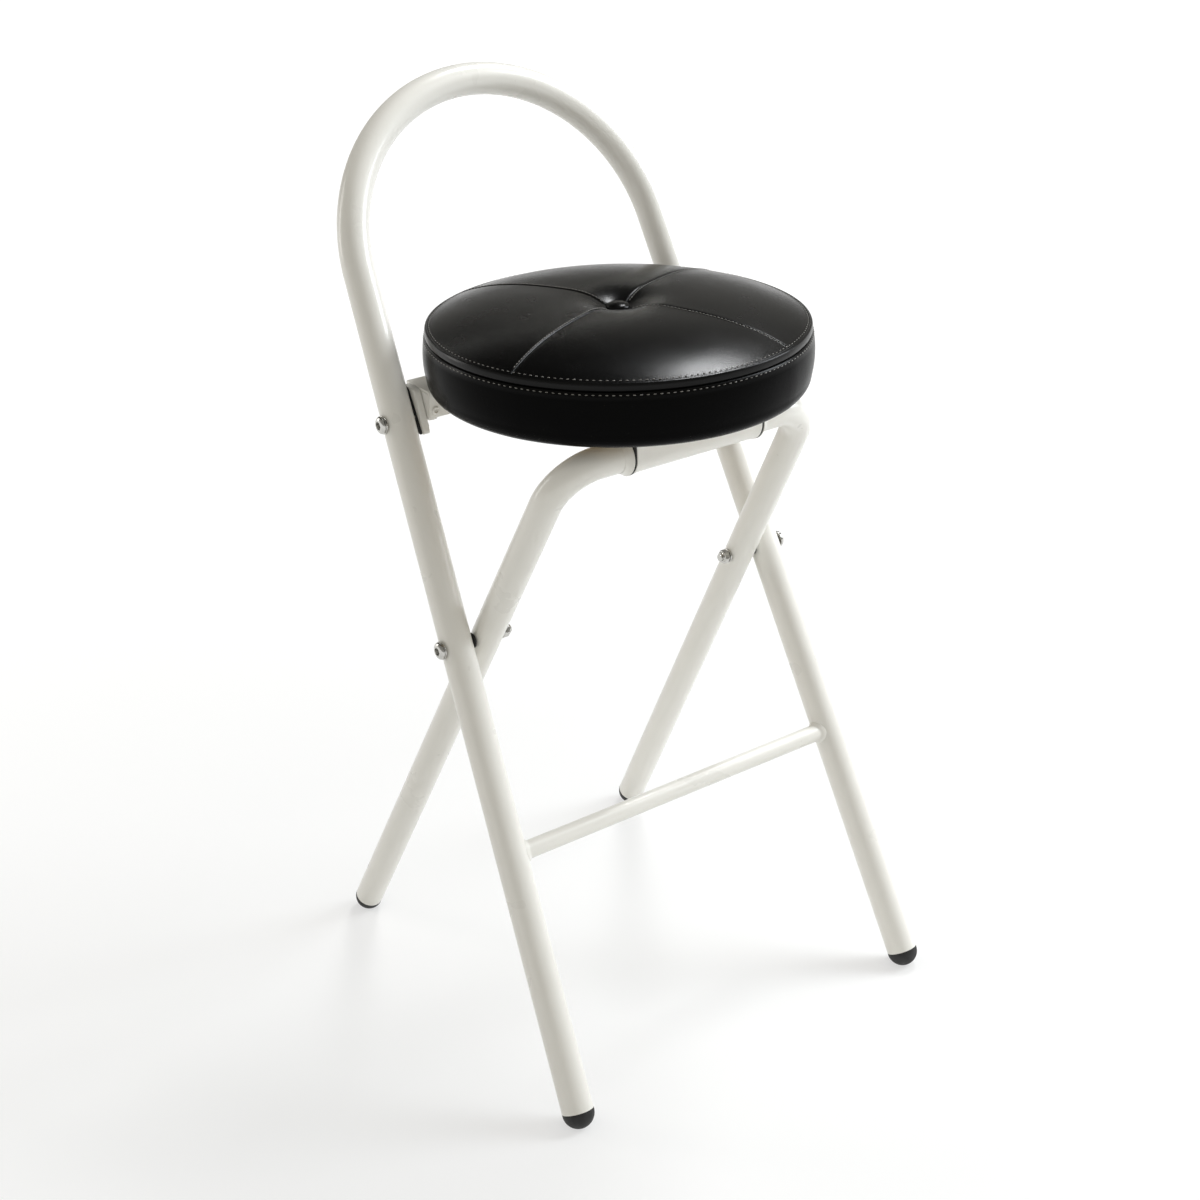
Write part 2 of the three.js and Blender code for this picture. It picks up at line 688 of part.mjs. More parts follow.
// The cushion's section from its underside at the axis round to its top at the axis
function cushionProfile() {
  const pocketRadius = boardRadius / Math.cos(widestShare * Math.PI / 4) + fitGap;
  const pocketTop = boardThickness + 2 * fitGap;
  const roundSteps = 4;
  const bandSteps = 4;
  const crownShares = [0.985, 0.95, 0.88, 0.76, 0.62, 0.46, 0.34];
  const dimpleShares = [0.85, 0.7, 0.55, 0.4, 0.2, 0];
  const points = [[0, pocketTop], [pocketRadius, pocketTop], [pocketRadius, 0]];
  for (let i = 0; i <= roundSteps; i += 1) {
    const angle = -Math.PI / 2 * (1 - i / roundSteps);
    const inward = cushionRadius - bandBulge - bottomRound;
    points.push([inward + bottomRound * Math.cos(angle), bottomRound * (1 + Math.sin(angle))]);
  }
  for (let i = 1; i <= bandSteps; i += 1) {
    const share = i / bandSteps;
    const swell = bandBulge * (1 - (2 * share - 1) ** 2);
    points.push([cushionRadius - bandBulge + swell, bottomRound + (bandHeight - bottomRound) * share]);
  }
  const groove = cushionRadius - bandBulge - weltInset - weltGroove;
  const strip = cushionRadius - weltInset;
  points.push([groove, bandHeight + weltGrooveWidth / 2], [strip, bandHeight + weltGrooveWidth]);
  points.push([strip, weltTop], [groove, weltTop + weltGrooveWidth / 2]);
  crownShares.forEach((share) => points.push([share * crownRadius, crownHeight(share * crownRadius)]));
  dimpleShares.forEach((share) => {
    const radius = dimpleFloorRadius + share * (dimpleRadius - dimpleFloorRadius);
    points.push([radius, crownHeight(radius)]);
  });
  points.push([0, crownHeight(0)]);
  return points;
}

// The lathe is remapped so that its lines gather at four sewn channels across the crown
function cushionBody() {
  const quarters = 4;
  const profile = cushionProfile();
  const geometry = turned(profile, quarters * lineShares.length);
  const position = geometry.attributes.position;
  for (let k = 0; k < position.count; k += 1) {
    const line = Math.floor(k / profile.length) % (quarters * lineShares.length);
    const [radius, height] = profile[k % profile.length];
    const quarter = Math.floor(line / lineShares.length);
    const share = lineShares[line % lineShares.length];
    const depth = depthShares[line % lineShares.length];
    const angle = seamTurn + (quarter + share) * Math.PI / 2;
    const onCrown = height > weltTop + weltGrooveWidth / 2 && radius > dimpleFloorRadius;
    const fade = onCrown ? Math.min(1, (radius - dimpleFloorRadius) / dimpleFloorRadius) : 0;
    const sunk = seamDepth * depth * fade * Math.sqrt(Math.max(0, 1 - (radius / crownRadius) ** 2));
    position.setXYZ(k, radius * Math.cos(angle), radius * Math.sin(angle), height - sunk);
  }
  geometry.deleteAttribute('uv');
  geometry.computeVertexNormals();
  return geometry.translate(0, seatCentreBack, undersideRise);
}

function cushionButton() {
  const domeSteps = 5;
  const dome = Array.from({ length: domeSteps + 1 }, (_, i) => {
    const angle = Math.PI / 2 * i / domeSteps;
    return [buttonRadius * Math.cos(angle), buttonEdge + (buttonHeight - buttonEdge) * Math.sin(angle)];
  });
  dome[domeSteps][0] = 0;
  const profile = [[0, 0], [buttonRadius - buttonEdge, 0], ...dome];
  const floor = undersideRise + crownHeight(0) + fitGap;
  return turnedAlongZ(profile, tubeFacets).translate(0, seatCentreBack, floor);
}

function addBackFrame(stool) {
  const frame = new THREE.Group();
  frame.position.set(0, 0, crossHeight);
  frame.rotation.x = -hoopLean;
  frame.updateMatrix();
  addPiece(frame, 'hoop_tube', hoopTube(), 'frame');
  addPiece(frame, 'footrest_bar', footrestBar(), 'frame');
  sides.forEach(([, side]) => {
    footTip(frame, 'front_tip', side, hoopHalfWidth, hoopOd, hoopWall, hoopLean, hoopSplay);
  });
  addCrossPivots(frame);
  addCatchPins(frame);
  addPinPlates(frame);
  stool.add(frame);
}

function addLegFrame(stool) {
  const frame = new THREE.Group();
  frame.position.set(0, 0, crossHeight);
  frame.rotation.x = legLean;
  frame.updateMatrix();
  addPiece(frame, 'leg_tube', legTube(), 'frame');
  sides.forEach(([, side]) => {
    footTip(frame, 'rear_tip', side, legHalfWidth, legOd, legWall, legLean, legSplay);
  });
  addBarCollars(frame);
  stool.add(frame);
}

function addSeat(stool) {
  const seat = new THREE.Group();
  seat.position.set(0, -barRise * Math.sin(legLean), crossHeight + barRise * Math.cos(legLean));
  addPiece(seat, 'front_saddle', frontSaddle(), 'frame');
  addPiece(seat, 'rear_rail', rearRail(), 'frame');
  sides.forEach(([word, side]) => {
    addPiece(seat, `saddle_bearing_${word}`, saddleBearing(side), 'dark');
    addPiece(seat, `seat_catch_${word}`, seatCatch(side), 'nylon');
  });
  addPiece(seat, 'seat_board', seatBoard(), 'wood');
  addScrews(seat);
  addRivets(seat);
  addPiece(seat, 'cushion', cushionBody(), 'leather');
  addPiece(seat, 'cushion_button', cushionButton(), 'leather');
  stool.add(seat);
}

function buildStool() {
  const stool = new THREE.Group();
  addBackFrame(stool);
  addLegFrame(stool);
  addSeat(stool);
  // The origin is below the middle of the stool's depth, on the floor
  const front = footAlong(hoopOd, hoopLean) * Math.sin(hoopLean) - hoopOd / 2;
  const back = hoopRise * Math.sin(hoopLean) + hoopOd / 2;
  stool.position.y = -(front + back) / 2;
  return stool;
}

export default buildStool();
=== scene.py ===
"""Folding bar stool: painted tube frames, bolts, seat fittings and a tufted round cushion.

Every piece is built round the packed CAD frame, in metres and in the same place.
"""
import json
import math

import bmesh
import bpy
from bpy.props import FloatProperty, FloatVectorProperty, IntProperty, PointerProperty
from mathutils import Matrix, Vector
from mathutils.bvhtree import BVHTree
from mathutils.kdtree import KDTree


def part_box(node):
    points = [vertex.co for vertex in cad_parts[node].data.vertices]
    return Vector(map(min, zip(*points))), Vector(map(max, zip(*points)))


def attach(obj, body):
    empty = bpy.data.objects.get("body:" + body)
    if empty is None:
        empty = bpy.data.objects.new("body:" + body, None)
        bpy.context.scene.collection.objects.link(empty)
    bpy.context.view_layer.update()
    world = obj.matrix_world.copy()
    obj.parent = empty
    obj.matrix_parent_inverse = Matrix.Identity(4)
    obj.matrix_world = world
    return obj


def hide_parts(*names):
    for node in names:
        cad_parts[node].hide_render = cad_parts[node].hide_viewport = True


bl_info = {
    "name": "Folding Bar Stool",
    "version": (1, 0, 0),
    "blender": (4, 5, 0),
    "location": "3D View > Sidebar > Stool",
    "description": "Builds the stool's tubes, fittings and cushion round its CAD frame",
    "category": "Add Mesh",
}

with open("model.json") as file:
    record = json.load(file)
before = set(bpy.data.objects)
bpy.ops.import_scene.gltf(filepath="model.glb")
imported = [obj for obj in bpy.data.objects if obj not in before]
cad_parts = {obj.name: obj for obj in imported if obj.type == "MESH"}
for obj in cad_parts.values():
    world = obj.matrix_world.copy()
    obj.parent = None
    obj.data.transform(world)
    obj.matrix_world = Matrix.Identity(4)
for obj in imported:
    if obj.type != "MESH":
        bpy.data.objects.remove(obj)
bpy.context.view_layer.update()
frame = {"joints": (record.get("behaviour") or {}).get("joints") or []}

MM = 0.001
# Points nearer to each other than this are merged
MERGE = 0.001 * MM
# A rim is an edge where a shape turns by more than this
RIM_TURN = math.radians(60)
SIDES = (("left", -1), ("right", 1))


def joint_place(name):
    return Vector(next(j for j in frame["joints"] if j["name"] == name)["pos_m"])


def middle(node):
    low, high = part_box(node)
    return (low + high) / 2


# The two frames cross at one pivot, and each has a plane of its own through it
CROSS = joint_place("frame_fold")
BAR = joint_place("seat_fold")
PIN = middle("catch_bolt_right")
HOOP_LEAN = math.atan2(PIN.y - CROSS.y, PIN.z - CROSS.z)
LEG_LEAN = math.atan2(CROSS.y - BAR.y, BAR.z - CROSS.z)
BAR_RISE = math.hypot(BAR.y - CROSS.y, BAR.z - CROSS.z)
HOOP_PLANE = Matrix.Translation(CROSS) @ Matrix.Rotation(-HOOP_LEAN, 4, "X")
LEG_PLANE = Matrix.Translation(CROSS) @ Matrix.Rotation(LEG_LEAN, 4, "X")
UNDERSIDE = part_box("rear_rail")[1].z
SEAT = middle("seat_board")


def length(name, description, millimetres):
    return FloatProperty(name=name, description=description, default=millimetres * MM,
                         min=0.0, unit="LENGTH", precision=5)


def angle(name, description, degrees):
    return FloatProperty(name=name, description=description, default=math.radians(degrees),
                         unit="ROTATION")


def steps(name, description, count):
    return IntProperty(name=name, description=description, default=count, min=3)


def linear(code):
    """An sRGB hex colour as linear red, green and blue."""
    parts = [int(code[i:i + 2], 16) / 255 for i in (0, 2, 4)]
    return tuple(p / 12.92 if p <= 0.04045 else ((p + 0.055) / 1.055) ** 2.4 for p in parts)


def colour(name, description, code):
    return FloatVectorProperty(name=name, description=description, default=linear(code),
                               subtype="COLOR", size=3, min=0.0, max=1.0)


class TubeSizes(bpy.types.PropertyGroup):
    """Sizes of the two tube frames and their foot tips."""
    hoop_diameter: length("Hoop Tube", "Outside diameter of the hoop's tube", 25.4)
    hoop_half_width: length("Hoop Half Width", "Leg's distance from the middle at the pivot", 154.5)
    hoop_rise: length("Hoop Rise", "Top of the hoop above the pivot, along its plane", 426.7)
    leg_diameter: length("Leg Tube", "Outside diameter of the leg frame's tube", 24)
    leg_half_width: length("Leg Half Width", "Leg's distance from the middle at the pivot", 127.2)
    bar_bend: length("Bar Bend", "Centreline radius of the bends beside the front bar", 36)
    wall: length("Tube Wall", "Thickness of both tubes", 1.5)
    hoop_splay: angle("Hoop Splay", "Slant of the hoop's legs away from the middle", 2.7)
    leg_splay: angle("Leg Splay", "Slant of the leg frame's legs away from the middle", 3.3)
    footrest_diameter: length("Footrest", "Outside diameter of the footrest", 14.5)
    footrest_drop: length("Footrest Drop", "Footrest below the pivot, along the hoop's plane", 167)
    weld_bead: length("Weld Bead", "Reach of the weld where the footrest meets a leg", 2.2)
    foot_flat: length("Worn Flat", "Depth worn off each rubber tip", 0.6)
    tip_rim: length("Tip Rim", "Rubber rim between the dome and the tube's end", 1.5)
    around: steps("Facets", "Facets round a tube", 64)
    bend_steps: steps("Bend Steps", "Rings in the hoop's bend", 96)


class FittingSizes(bpy.types.PropertyGroup):
    """Sizes of the bolts, nuts, plates, saddle and rail."""
    head_radius: length("Bolt Head Radius", "Radius of a button head", 6.8)
    head_height: length("Bolt Head Height", "Height of a button head", 3.2)
    bolt_radius: length("Bolt Radius", "Radius of a bolt's shank", 3)
    bore_radius: length("Bore Radius", "Radius of the bores on the bolts", 3.1)
    socket_radius: length("Socket Radius", "Radius of the hexagon socket to its corners", 3.5)
    socket_depth: length("Socket Depth", "Depth of the hexagon socket", 2.1)
    washer_radius: length("Washer Radius", "Radius of the washers under the bolt heads", 7.3)
    inner_washer_radius: length("Inner Washer Radius", "Radius of the washers under the nuts", 6)
    spacer_radius: length("Spacer Radius", "Radius of the spacers between the frames", 6)
    sleeve_radius: length("Sleeve Radius", "Radius of the sleeves on the catch bolts", 5)
    nut_across: length("Nut", "Nut's width across its flats", 10)
    nut_collar: length("Nut Collar", "Height of the nut's locking collar", 1.3)
    nut_collar_radius: length("Nut Collar Radius", "Radius of the nut's locking collar", 4.3)
    strap: length("Strap", "Thickness of the saddle's strap", 1.4)
    strap_inner: length("Strap Inner Radius", "Inner radius of the saddle's strap", 13.1)
    strap_flange: length("Strap Flange", "Width of the saddle's flange", 16)
    strap_flare: length("Strap Flare", "Flare at the ends of the saddle", 0.9)
    flare_length: length("Flare Length", "Length of the flare along the bar", 8)
    bearing_wall: length("Bearing Wall", "Wall of the nylon bearing under the bar", 0.7)
    bearing_lip: length("Bearing Lip", "Width of the bearing's lip outside the saddle", 1.2)
    rail: length("Rail", "Thickness of the rear rail's sheet", 2.2)
    rail_bend: length("Rail Bend", "Outer radius of the rail's bend", 3)
    plate_front: length("Plate Front", "Pin plate's reach before the pin", 8)
    plate_back: length("Plate Back", "Pin plate's reach behind the pin", 9)
    plate_lean: angle("Plate Lean", "How far the pin plate leans back", 20)
    pad_reach: length("Pad Reach", "Pin pad's reach before and behind the pin", 4.7)
    plate_corner: length("Plate Corner", "Corner radius of the pin plates", 3)
    catch_heel: length("Catch Heel", "Corner radius of the catch's lower back", 6)
    catch_width: length("Catch Thickness", "Thickness of the catch's hook", 6)
    lug_depth: length("Lug Depth", "Depth of the catch's lug inside the rail", 3.4)
    slot_angle: angle("Slot Angle", "Slope of the catch's slot below level", 61.5)
    clearance: length("Clearance", "Gap between fitted pieces", 0.3)
    around: steps("Facets", "Facets round a fitting", 48)


class CushionSizes(bpy.types.PropertyGroup):
    """Sizes of the cushion, its welt, tuft and stitching."""
    radius: length("Radius", "Widest radius of the cushion", 148.8)
    band_height: length("Band Height", "Top of the side band above the board's underside", 44)
    band_bulge: length("Band Bulge", "How far the side band swells", 1.8)
    bottom_round: length("Bottom Round", "Radius of the rounded lower edge", 12)
    welt_width: length("Welt Width", "Width of the flat strip round the rim", 5.5)
    welt_inset: length("Welt Inset", "Strip's distance inside the widest radius", 2.4)
    groove: length("Groove", "Depth of the grooves beside the strip", 1.6)
    groove_width: length("Groove Width", "Width of the grooves beside the strip", 1.2)
    crown_rise: length("Crown Rise", "Rise of the crown from its edge to its middle", 17)
    dimple: length("Dimple", "Depth that the button pulls the crown down", 8.5)
    dimple_radius: length("Dimple Radius", "Radius of the tuft's dimple", 46)
    dimple_floor: length("Dimple Floor", "Radius of the dimple's flat floor", 9)
    seam_depth: length("Seam Depth", "Depth that each seam pulls the crown down", 1.6)
    seam_turn: angle("Seam Turn", "Turn of the first seam from the right", 22)
    board_thickness: length("Board Thickness", "Thickness of the plywood board", 12)
    button_radius: length("Button Radius", "Radius of the covered button", 9.3)
    button_height: length("Button Height", "Height of the covered button", 5)
    stitch_pitch: length("Stitch Pitch", "Distance from one stitch to the next", 3)
    thread: length("Thread", "Thickness of the sewing thread", 0.7)
    swell_limit: length("Swell Limit", "Most that the filling may push the cover", 4)


class StoolColours(bpy.types.PropertyGroup):
    """Colours of the stool's finishes."""
    paint: colour("Frame Paint", "Off-white powder coat", "EBE9E3")
    rubber: colour("Tip Rubber", "Black foot tips", "121212")
    zinc: colour("Bolt Steel", "Zinc-plated bolts and nuts", "C9C8C4")
    black_nylon: colour("Black Nylon", "Spacers, pads and bearings", "101010")
    white_nylon: colour("White Nylon", "Catches and pin plates", "E2E0D9")
    plywood: colour("Plywood", "Birch face of the seat board", "A18E70")
    vinyl: colour("Vinyl", "Black upholstery cover", "050505")
    # Partly the thread's own dark grey and partly painted highlight: this grey is lighter than the dark thread so that
    # the stitches show as light dots
    thread: colour("Thread", "Sewing thread on the cover", "6E6B66")
    floor: colour("Floor", "Studio floor", "F2F2F1")


# Materials

# Noise keeps mostly to its middle, and this part of it is stretched to the whole range
NOISE_MIDDLE = {"From Min": 0.3, "From Max": 0.7}
NYLON_ROUGHNESS = {"black_nylon": 0.42, "white_nylon": 0.38}


def find_socket(sockets, key):
    """A node's socket by its number, or the one in use that has a name."""
    if isinstance(key, int):
        return sockets[key]
    return next(s for s in sockets if s.enabled and s.name == key)


def add_node(tree, kind, settings=None, values=None, links=None):
    """Add a node with its settings, its sockets' values and the links that feed it."""
    made = tree.nodes.new(kind)
    for name, value in (settings or {}).items():
        setattr(made, name, value)
    for name, value in (values or {}).items():
        find_socket(made.inputs, name).default_value = value
    for name, source in (links or {}).items():
        tree.links.new(source, find_socket(made.inputs, name))
    return made


def start_material(name, rgb, values, clouds, stretch=None):
    """A material with its shader's values, the object's coordinates and its clouds of noise.

    Each cloud is the size of its lumps in millimetres and its detail.
    """
    material = bpy.data.materials.new(name)
    material.use_nodes = True
    tree = material.node_tree
    shader = next(n for n in tree.nodes if n.type == "BSDF_PRINCIPLED")
    for key, value in {"Base Color": (*rgb, 1), **values}.items():
        shader.inputs[key].default_value = value
    place = along = add_node(tree, "ShaderNodeTexCoord").outputs["Object"]
    if stretch:
        along = add_node(tree, "ShaderNodeMapping", values={"Scale": stretch},
                         links={"Vector": place}).outputs["Vector"]
    made = [add_node(tree, "ShaderNodeTexNoise", links={"Vector": along},
                     values={"Scale": 1 / (size * MM), "Detail": detail, "Roughness": 0.55})
            for size, detail in clouds]
    return material, tree, shader, place, [node.outputs["Fac"] for node in made]


def tie_patterns(tree, shader, rgb, tint=None, gloss=None, relief=()):
    """Let patterns vary a shader's colour and roughness, and raise its surface.

    The tint is a pattern and two shares of the colour, the gloss a pattern and two values of
    roughness, and each relief a pattern and its height in millimetres, the lowest first.
    """
    if tint:
        pattern, low, high = tint
        shades = {key: (*(min(1.0, c * share) for c in rgb), 1)
                  for key, share in (("A", low), ("B", high))}
        mix = add_node(tree, "ShaderNodeMix", {"data_type": "RGBA"}, shades, {"Factor": pattern})
        tree.links.new(find_socket(mix.outputs, "Result"), shader.inputs["Base Color"])
    if gloss:
        pattern, low, high = gloss
        spread = add_node(tree, "ShaderNodeMapRange", links={"Value": pattern},
                          values={**NOISE_MIDDLE, "To Min": low, "To Max": high})
        tree.links.new(spread.outputs["Result"], shader.inputs["Roughness"])
    under = {}
    for pattern, height in relief:
        raised = add_node(tree, "ShaderNodeBump", links={"Height": pattern, **under},
                          values={"Strength": 1.0, "Distance": height * MM})
        under = {"Normal": raised.outputs["Normal"]}
    if relief:
        tree.links.new(under["Normal"], shader.inputs["Normal"])


def powder_coat(name, rgb):
    """Powder-coated steel: glossy paint with faint orange peel and slightly uneven gloss."""
    values = {"Roughness": 0.3, "IOR": 1.5, "Coat Weight": 0.35, "Coat Roughness": 0.12}
    material, tree, shader, _, (peel, wave, dust) = start_material(
        name, rgb, values, [(2.4, 1.0), (40, 3.0), (0.5, 2.0)])
    tie_patterns(tree, shader, rgb, (wave, 0.965, 1.01), (wave, 0.26, 0.36),
                 [(dust, 0.004), (peel, 0.03)])
    return material


def moulded_rubber(name, rgb):
    """Moulded rubber: dull black with a fine pebbled skin and greyer scuffs."""
    material, tree, shader, _, (scuff, pebble) = start_material(
        name, rgb, {"Roughness": 0.6, "IOR": 1.52}, [(6, 6.0), (0.6, 2.0)])
    tie_patterns(tree, shader, rgb, (scuff, 1.0, 2.2), (scuff, 0.48, 0.7), [(pebble, 0.05)])
    return material


def zinc_plate(name, rgb):
    """Zinc-plated steel: bright metal with a fine crystalline mottle and cloudy gloss."""
    material, tree, shader, place, (cloud,) = start_material(
        name, rgb, {"Roughness": 0.22, "Metallic": 1.0}, [(3, 3.0)])
    crystal = add_node(tree, "ShaderNodeTexVoronoi", values={"Scale": 1 / (0.5 * MM)},
                       links={"Vector": place}).outputs["Distance"]
    tie_patterns(tree, shader, rgb, (cloud, 0.86, 1.08), (cloud, 0.16, 0.3), [(crystal, 0.004)])
    return material


def moulded_nylon(name, rgb):
    """Moulded nylon: satin plastic with a spark-eroded texture from its mould."""
    satin = NYLON_ROUGHNESS[name]
    material, tree, shader, _, (flow, grit) = start_material(
        name, rgb, {"Roughness": satin, "IOR": 1.53}, [(9, 3.0), (0.35, 2.0)])
    tie_patterns(tree, shader, rgb, (flow, 0.95, 1.03), (flow, satin - 0.05, satin + 0.07),
                 [(grit, 0.02)])
    return material


def birch_plywood(name, rgb):
    """Birch plywood: long pale grain with darker streaks and fine open pores."""
    material, tree, shader, _, (figure, pore) = start_material(
        name, rgb, {"Roughness": 0.6, "IOR": 1.48}, [(14, 5.0), (0.9, 2.0)], (0.12, 1.0, 1.0))
    streaks = add_node(tree, "ShaderNodeMapRange", links={"Value": figure},
                       values={**NOISE_MIDDLE, "To Min": 0.0, "To Max": 1.0}).outputs["Result"]
    tie_patterns(tree, shader, rgb, (streaks, 0.72, 1.12), (pore, 0.5, 0.72), [(pore, 0.05)])
    return material


def upholstery_vinyl(name, rgb):
    """Upholstery vinyl: deep black with a satin topcoat and an embossed grain of small cells."""
    material, tree, shader, place, (creases, sheen) = start_material(
        name, rgb, {"Roughness": 0.36, "IOR": 1.5}, [(5, 5.0), (30, 3.0)])
    height = add_node(tree, "ShaderNodeSeparateXYZ", links={0: place}).outputs["Z"]
    # The side band has a duller topcoat than the crown, so it stays nearly black
    coat = add_node(tree, "ShaderNodeMapRange", links={"Value": height},
                    values={"From Min": UNDERSIDE + 38 * MM, "From Max": UNDERSIDE + 50 * MM,
                            "To Min": 0.03, "To Max": 0.2})
    tree.links.new(coat.outputs["Result"], shader.inputs["Specular IOR Level"])
    # The grain's cells are bent a little, so that they aren't all alike
    warp = add_node(tree, "ShaderNodeTexNoise", values={"Scale": 1 / (3 * MM), "Detail": 2.0},
                    links={"Vector": place}).outputs["Color"]
    bent = add_node(tree, "ShaderNodeMix", {"data_type": "VECTOR", "factor_mode": "UNIFORM"},
                    {"Factor": 0.0004}, {"A": place, "B": warp})
    # Grain of real vinyl is about 0.6 mm, and here it is 0.9 mm so that it shows
    cells = add_node(tree, "ShaderNodeTexVoronoi", {"feature": "SMOOTH_F1"},
                     {"Scale": 1 / (0.9 * MM), "Smoothness": 0.4},
                     {"Vector": find_socket(bent.outputs, "Result")}).outputs["Distance"]
    tie_patterns(tree, shader, rgb, (creases, 1.0, 1.25), (sheen, 0.22, 0.28),
                 [(creases, 0.035), (cells, 0.045)])
    return material


def polyester_thread(name, rgb):
    """Twisted polyester thread: smooth, with a slight silky sheen and a fine twist."""
    material, tree, shader, place, _ = start_material(
        name, rgb, {"Roughness": 0.35, "IOR": 1.5, "Sheen Weight": 0.3}, [])
    twist = add_node(tree, "ShaderNodeTexWave", {"bands_direction": "DIAGONAL"},
                     {"Scale": 1 / (6 * MM), "Distortion": 1.0}, {"Vector": place}).outputs["Fac"]
    tie_patterns(tree, shader, rgb, (twist, 0.8, 1.15), relief=[(twist, 0.04)])
    return material


# Each slot's material, how it is made and the colour that it takes
FINISHES = {
    "frame_paint": ("powder_coated_steel", powder_coat, "paint"),
    "tip_rubber": ("moulded_rubber", moulded_rubber, "rubber"),
    "bolt_steel": ("zinc_plated_steel", zinc_plate, "zinc"),
    "black_nylon": ("black_nylon", moulded_nylon, "black_nylon"),
    "white_nylon": ("white_nylon", moulded_nylon, "white_nylon"),
    "board_plywood": ("birch_plywood", birch_plywood, "plywood"),
    "cushion_vinyl": ("upholstery_vinyl", upholstery_vinyl, "vinyl"),
    "stitching": ("polyester_thread", polyester_thread, "thread"),
}


def finish_for(slot):
    """The material of one of the record's slots or of the stitching, made once."""
    name, make, hue = FINISHES[slot]
    rgb = getattr(bpy.context.scene.stool_colours, hue)
    return bpy.data.materials.get(name) or make(name, rgb)


# Modelling

def place_piece(bm, name, body, slot, nodes=(), crease=35.0, material=None):
    """Turn a closed bmesh into a smooth piece that rides on a body and stands for CAD nodes."""
    bmesh.ops.remove_doubles(bm, verts=bm.verts, dist=MERGE)
    bmesh.ops.recalc_face_normals(bm, faces=bm.faces)
    mesh = bpy.data.meshes.new(name)
    bm.to_mesh(mesh)
    bm.free()
    mesh.shade_smooth()
    mesh.set_sharp_from_angle(angle=math.radians(crease))
    mesh.materials.append(material or finish_for(slot))
    piece = bpy.data.objects.new(name, mesh)
    bpy.context.scene.collection.objects.link(piece)
    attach(piece, body)
    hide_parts(*nodes)
    return piece


def push(bm, faces, along):
    """Extrude faces by a vector and give the new end faces."""
    made = bmesh.ops.extrude_face_region(bm, geom=faces)["geom"]
    bmesh.ops.translate(bm, verts=[g for g in made if isinstance(g, bmesh.types.BMVert)], vec=along)
    return [g for g in made if isinstance(g, bmesh.types.BMFace)]


def sweep_bend(bm, faces, centre, turn, count):
    """Extrude faces round a bend about the Y direction and give the new end faces."""
    step = Matrix.Rotation(turn / count, 3, "Y")
    for _ in range(count):
        made = bmesh.ops.extrude_face_region(bm, geom=faces)["geom"]
        verts = [g for g in made if isinstance(g, bmesh.types.BMVert)]
        bmesh.ops.rotate(bm, verts=verts, cent=centre, matrix=step)
        faces = [g for g in made if isinstance(g, bmesh.types.BMFace)]
    return faces


def lathe(profile, count):
    """Spin a closed profile of (radius, distance) pairs round the Z axis."""
    bm = bmesh.new()
    verts = [bm.verts.new((r, 0, d)) for r, d in profile]
    edges = [bm.edges.new(pair) for pair in zip(verts, verts[1:])]
    if profile[0][0] > 0 or profile[-1][0] > 0:
        edges.append(bm.edges.new((verts[-1], verts[0])))
    bmesh.ops.spin(bm, geom=verts + edges, axis=(0, 0, 1), cent=(0, 0, 0), dvec=(0, 0, 0),
                   angle=math.tau, steps=count, use_merge=True)
    bmesh.ops.remove_doubles(bm, verts=bm.verts, dist=MERGE)
    bmesh.ops.recalc_face_normals(bm, faces=bm.faces)
    return bm


def add_into(target, source):
    """Move one bmesh's shapes into another."""
    carrier = bpy.data.meshes.new("carrier")
    source.to_mesh(carrier)
    source.free()
    target.from_mesh(carrier)
    bpy.data.meshes.remove(carrier)


def arc(centre, radius, start, end, count):
    """Points on an arc, from one angle in degrees to another."""
    turns = [math.radians(start + (end - start) * i / count) for i in range(count + 1)]
    return [(centre[0] + radius * math.cos(t), centre[1] + radius * math.sin(t)) for t in turns]


def soften(bm, edges, radius, count=3):
    bmesh.ops.bevel(bm, geom=edges, offset=radius, segments=count, profile=0.5,
                    affect="EDGES", material=-1, clamp_overlap=True)


def slab(outline, low, high, edge, matrix=Matrix.Identity(4)):
    """An outline of (y, z) points drawn out along X, with its rims softened."""
    bm = bmesh.new()
    face = bm.faces.new([bm.verts.new((low, y, z)) for y, z in outline])
    push(bm, [face], Vector((high - low, 0, 0)))
    bmesh.ops.recalc_face_normals(bm, faces=bm.faces)
    rims = [e for e in bm.edges if abs(e.verts[0].co.x - e.verts[1].co.x) < edge / 10]
    soften(bm, rims, edge)
    bmesh.ops.transform(bm, matrix=matrix, verts=bm.verts)
    return bm


def ring_loop(bm, points):
    """A closed loop of edges through points."""
    verts = [bm.verts.new(p) for p in points]
    return [bm.edges.new(pair) for pair in zip(verts, verts[1:] + verts[:1])]


def skin(bm, loops):
    """Bridge each loop of edges to the next."""
    for first, second in zip(loops, loops[1:]):
        bmesh.ops.bridge_loops(bm, edges=first + second)


def outermost(node):
    """A matrix at a node's outer end on its axis, with local Z pointing away from the middle."""
    low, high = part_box(node)
    centre = (low + high) / 2
    outward = centre.x > 0
    place = Matrix.Translation((high.x if outward else low.x, centre.y, centre.z))
    return place @ Matrix.Rotation(math.radians(90 if outward else -90), 4, "Y"), high.x - low.x


def turn_fitting(name, body, slot, profile, count, crease=35.0):
    """A turned fitting whose profile starts at its outer end, at distance zero."""
    place, _ = outermost(name)
    bm = lathe(profile, count)
    bmesh.ops.transform(bm, matrix=place, verts=bm.verts)
    return place_piece(bm, f"{name}_dressed", body, slot, [name], crease)


def hexagon_reach(turn, apothem):
    """A hexagon's edge distance from its middle at a turn."""
    sixth = math.pi / 3
    return apothem / math.cos((turn + sixth / 2) % sixth - sixth / 2)


# Tube frames

def leg_x(half_width, along, splay):
    return half_width - along * math.tan(splay)


def foot_along(diameter, flat, lean):
    return -(CROSS.z - diameter / 2 + flat) / math.cos(lean)


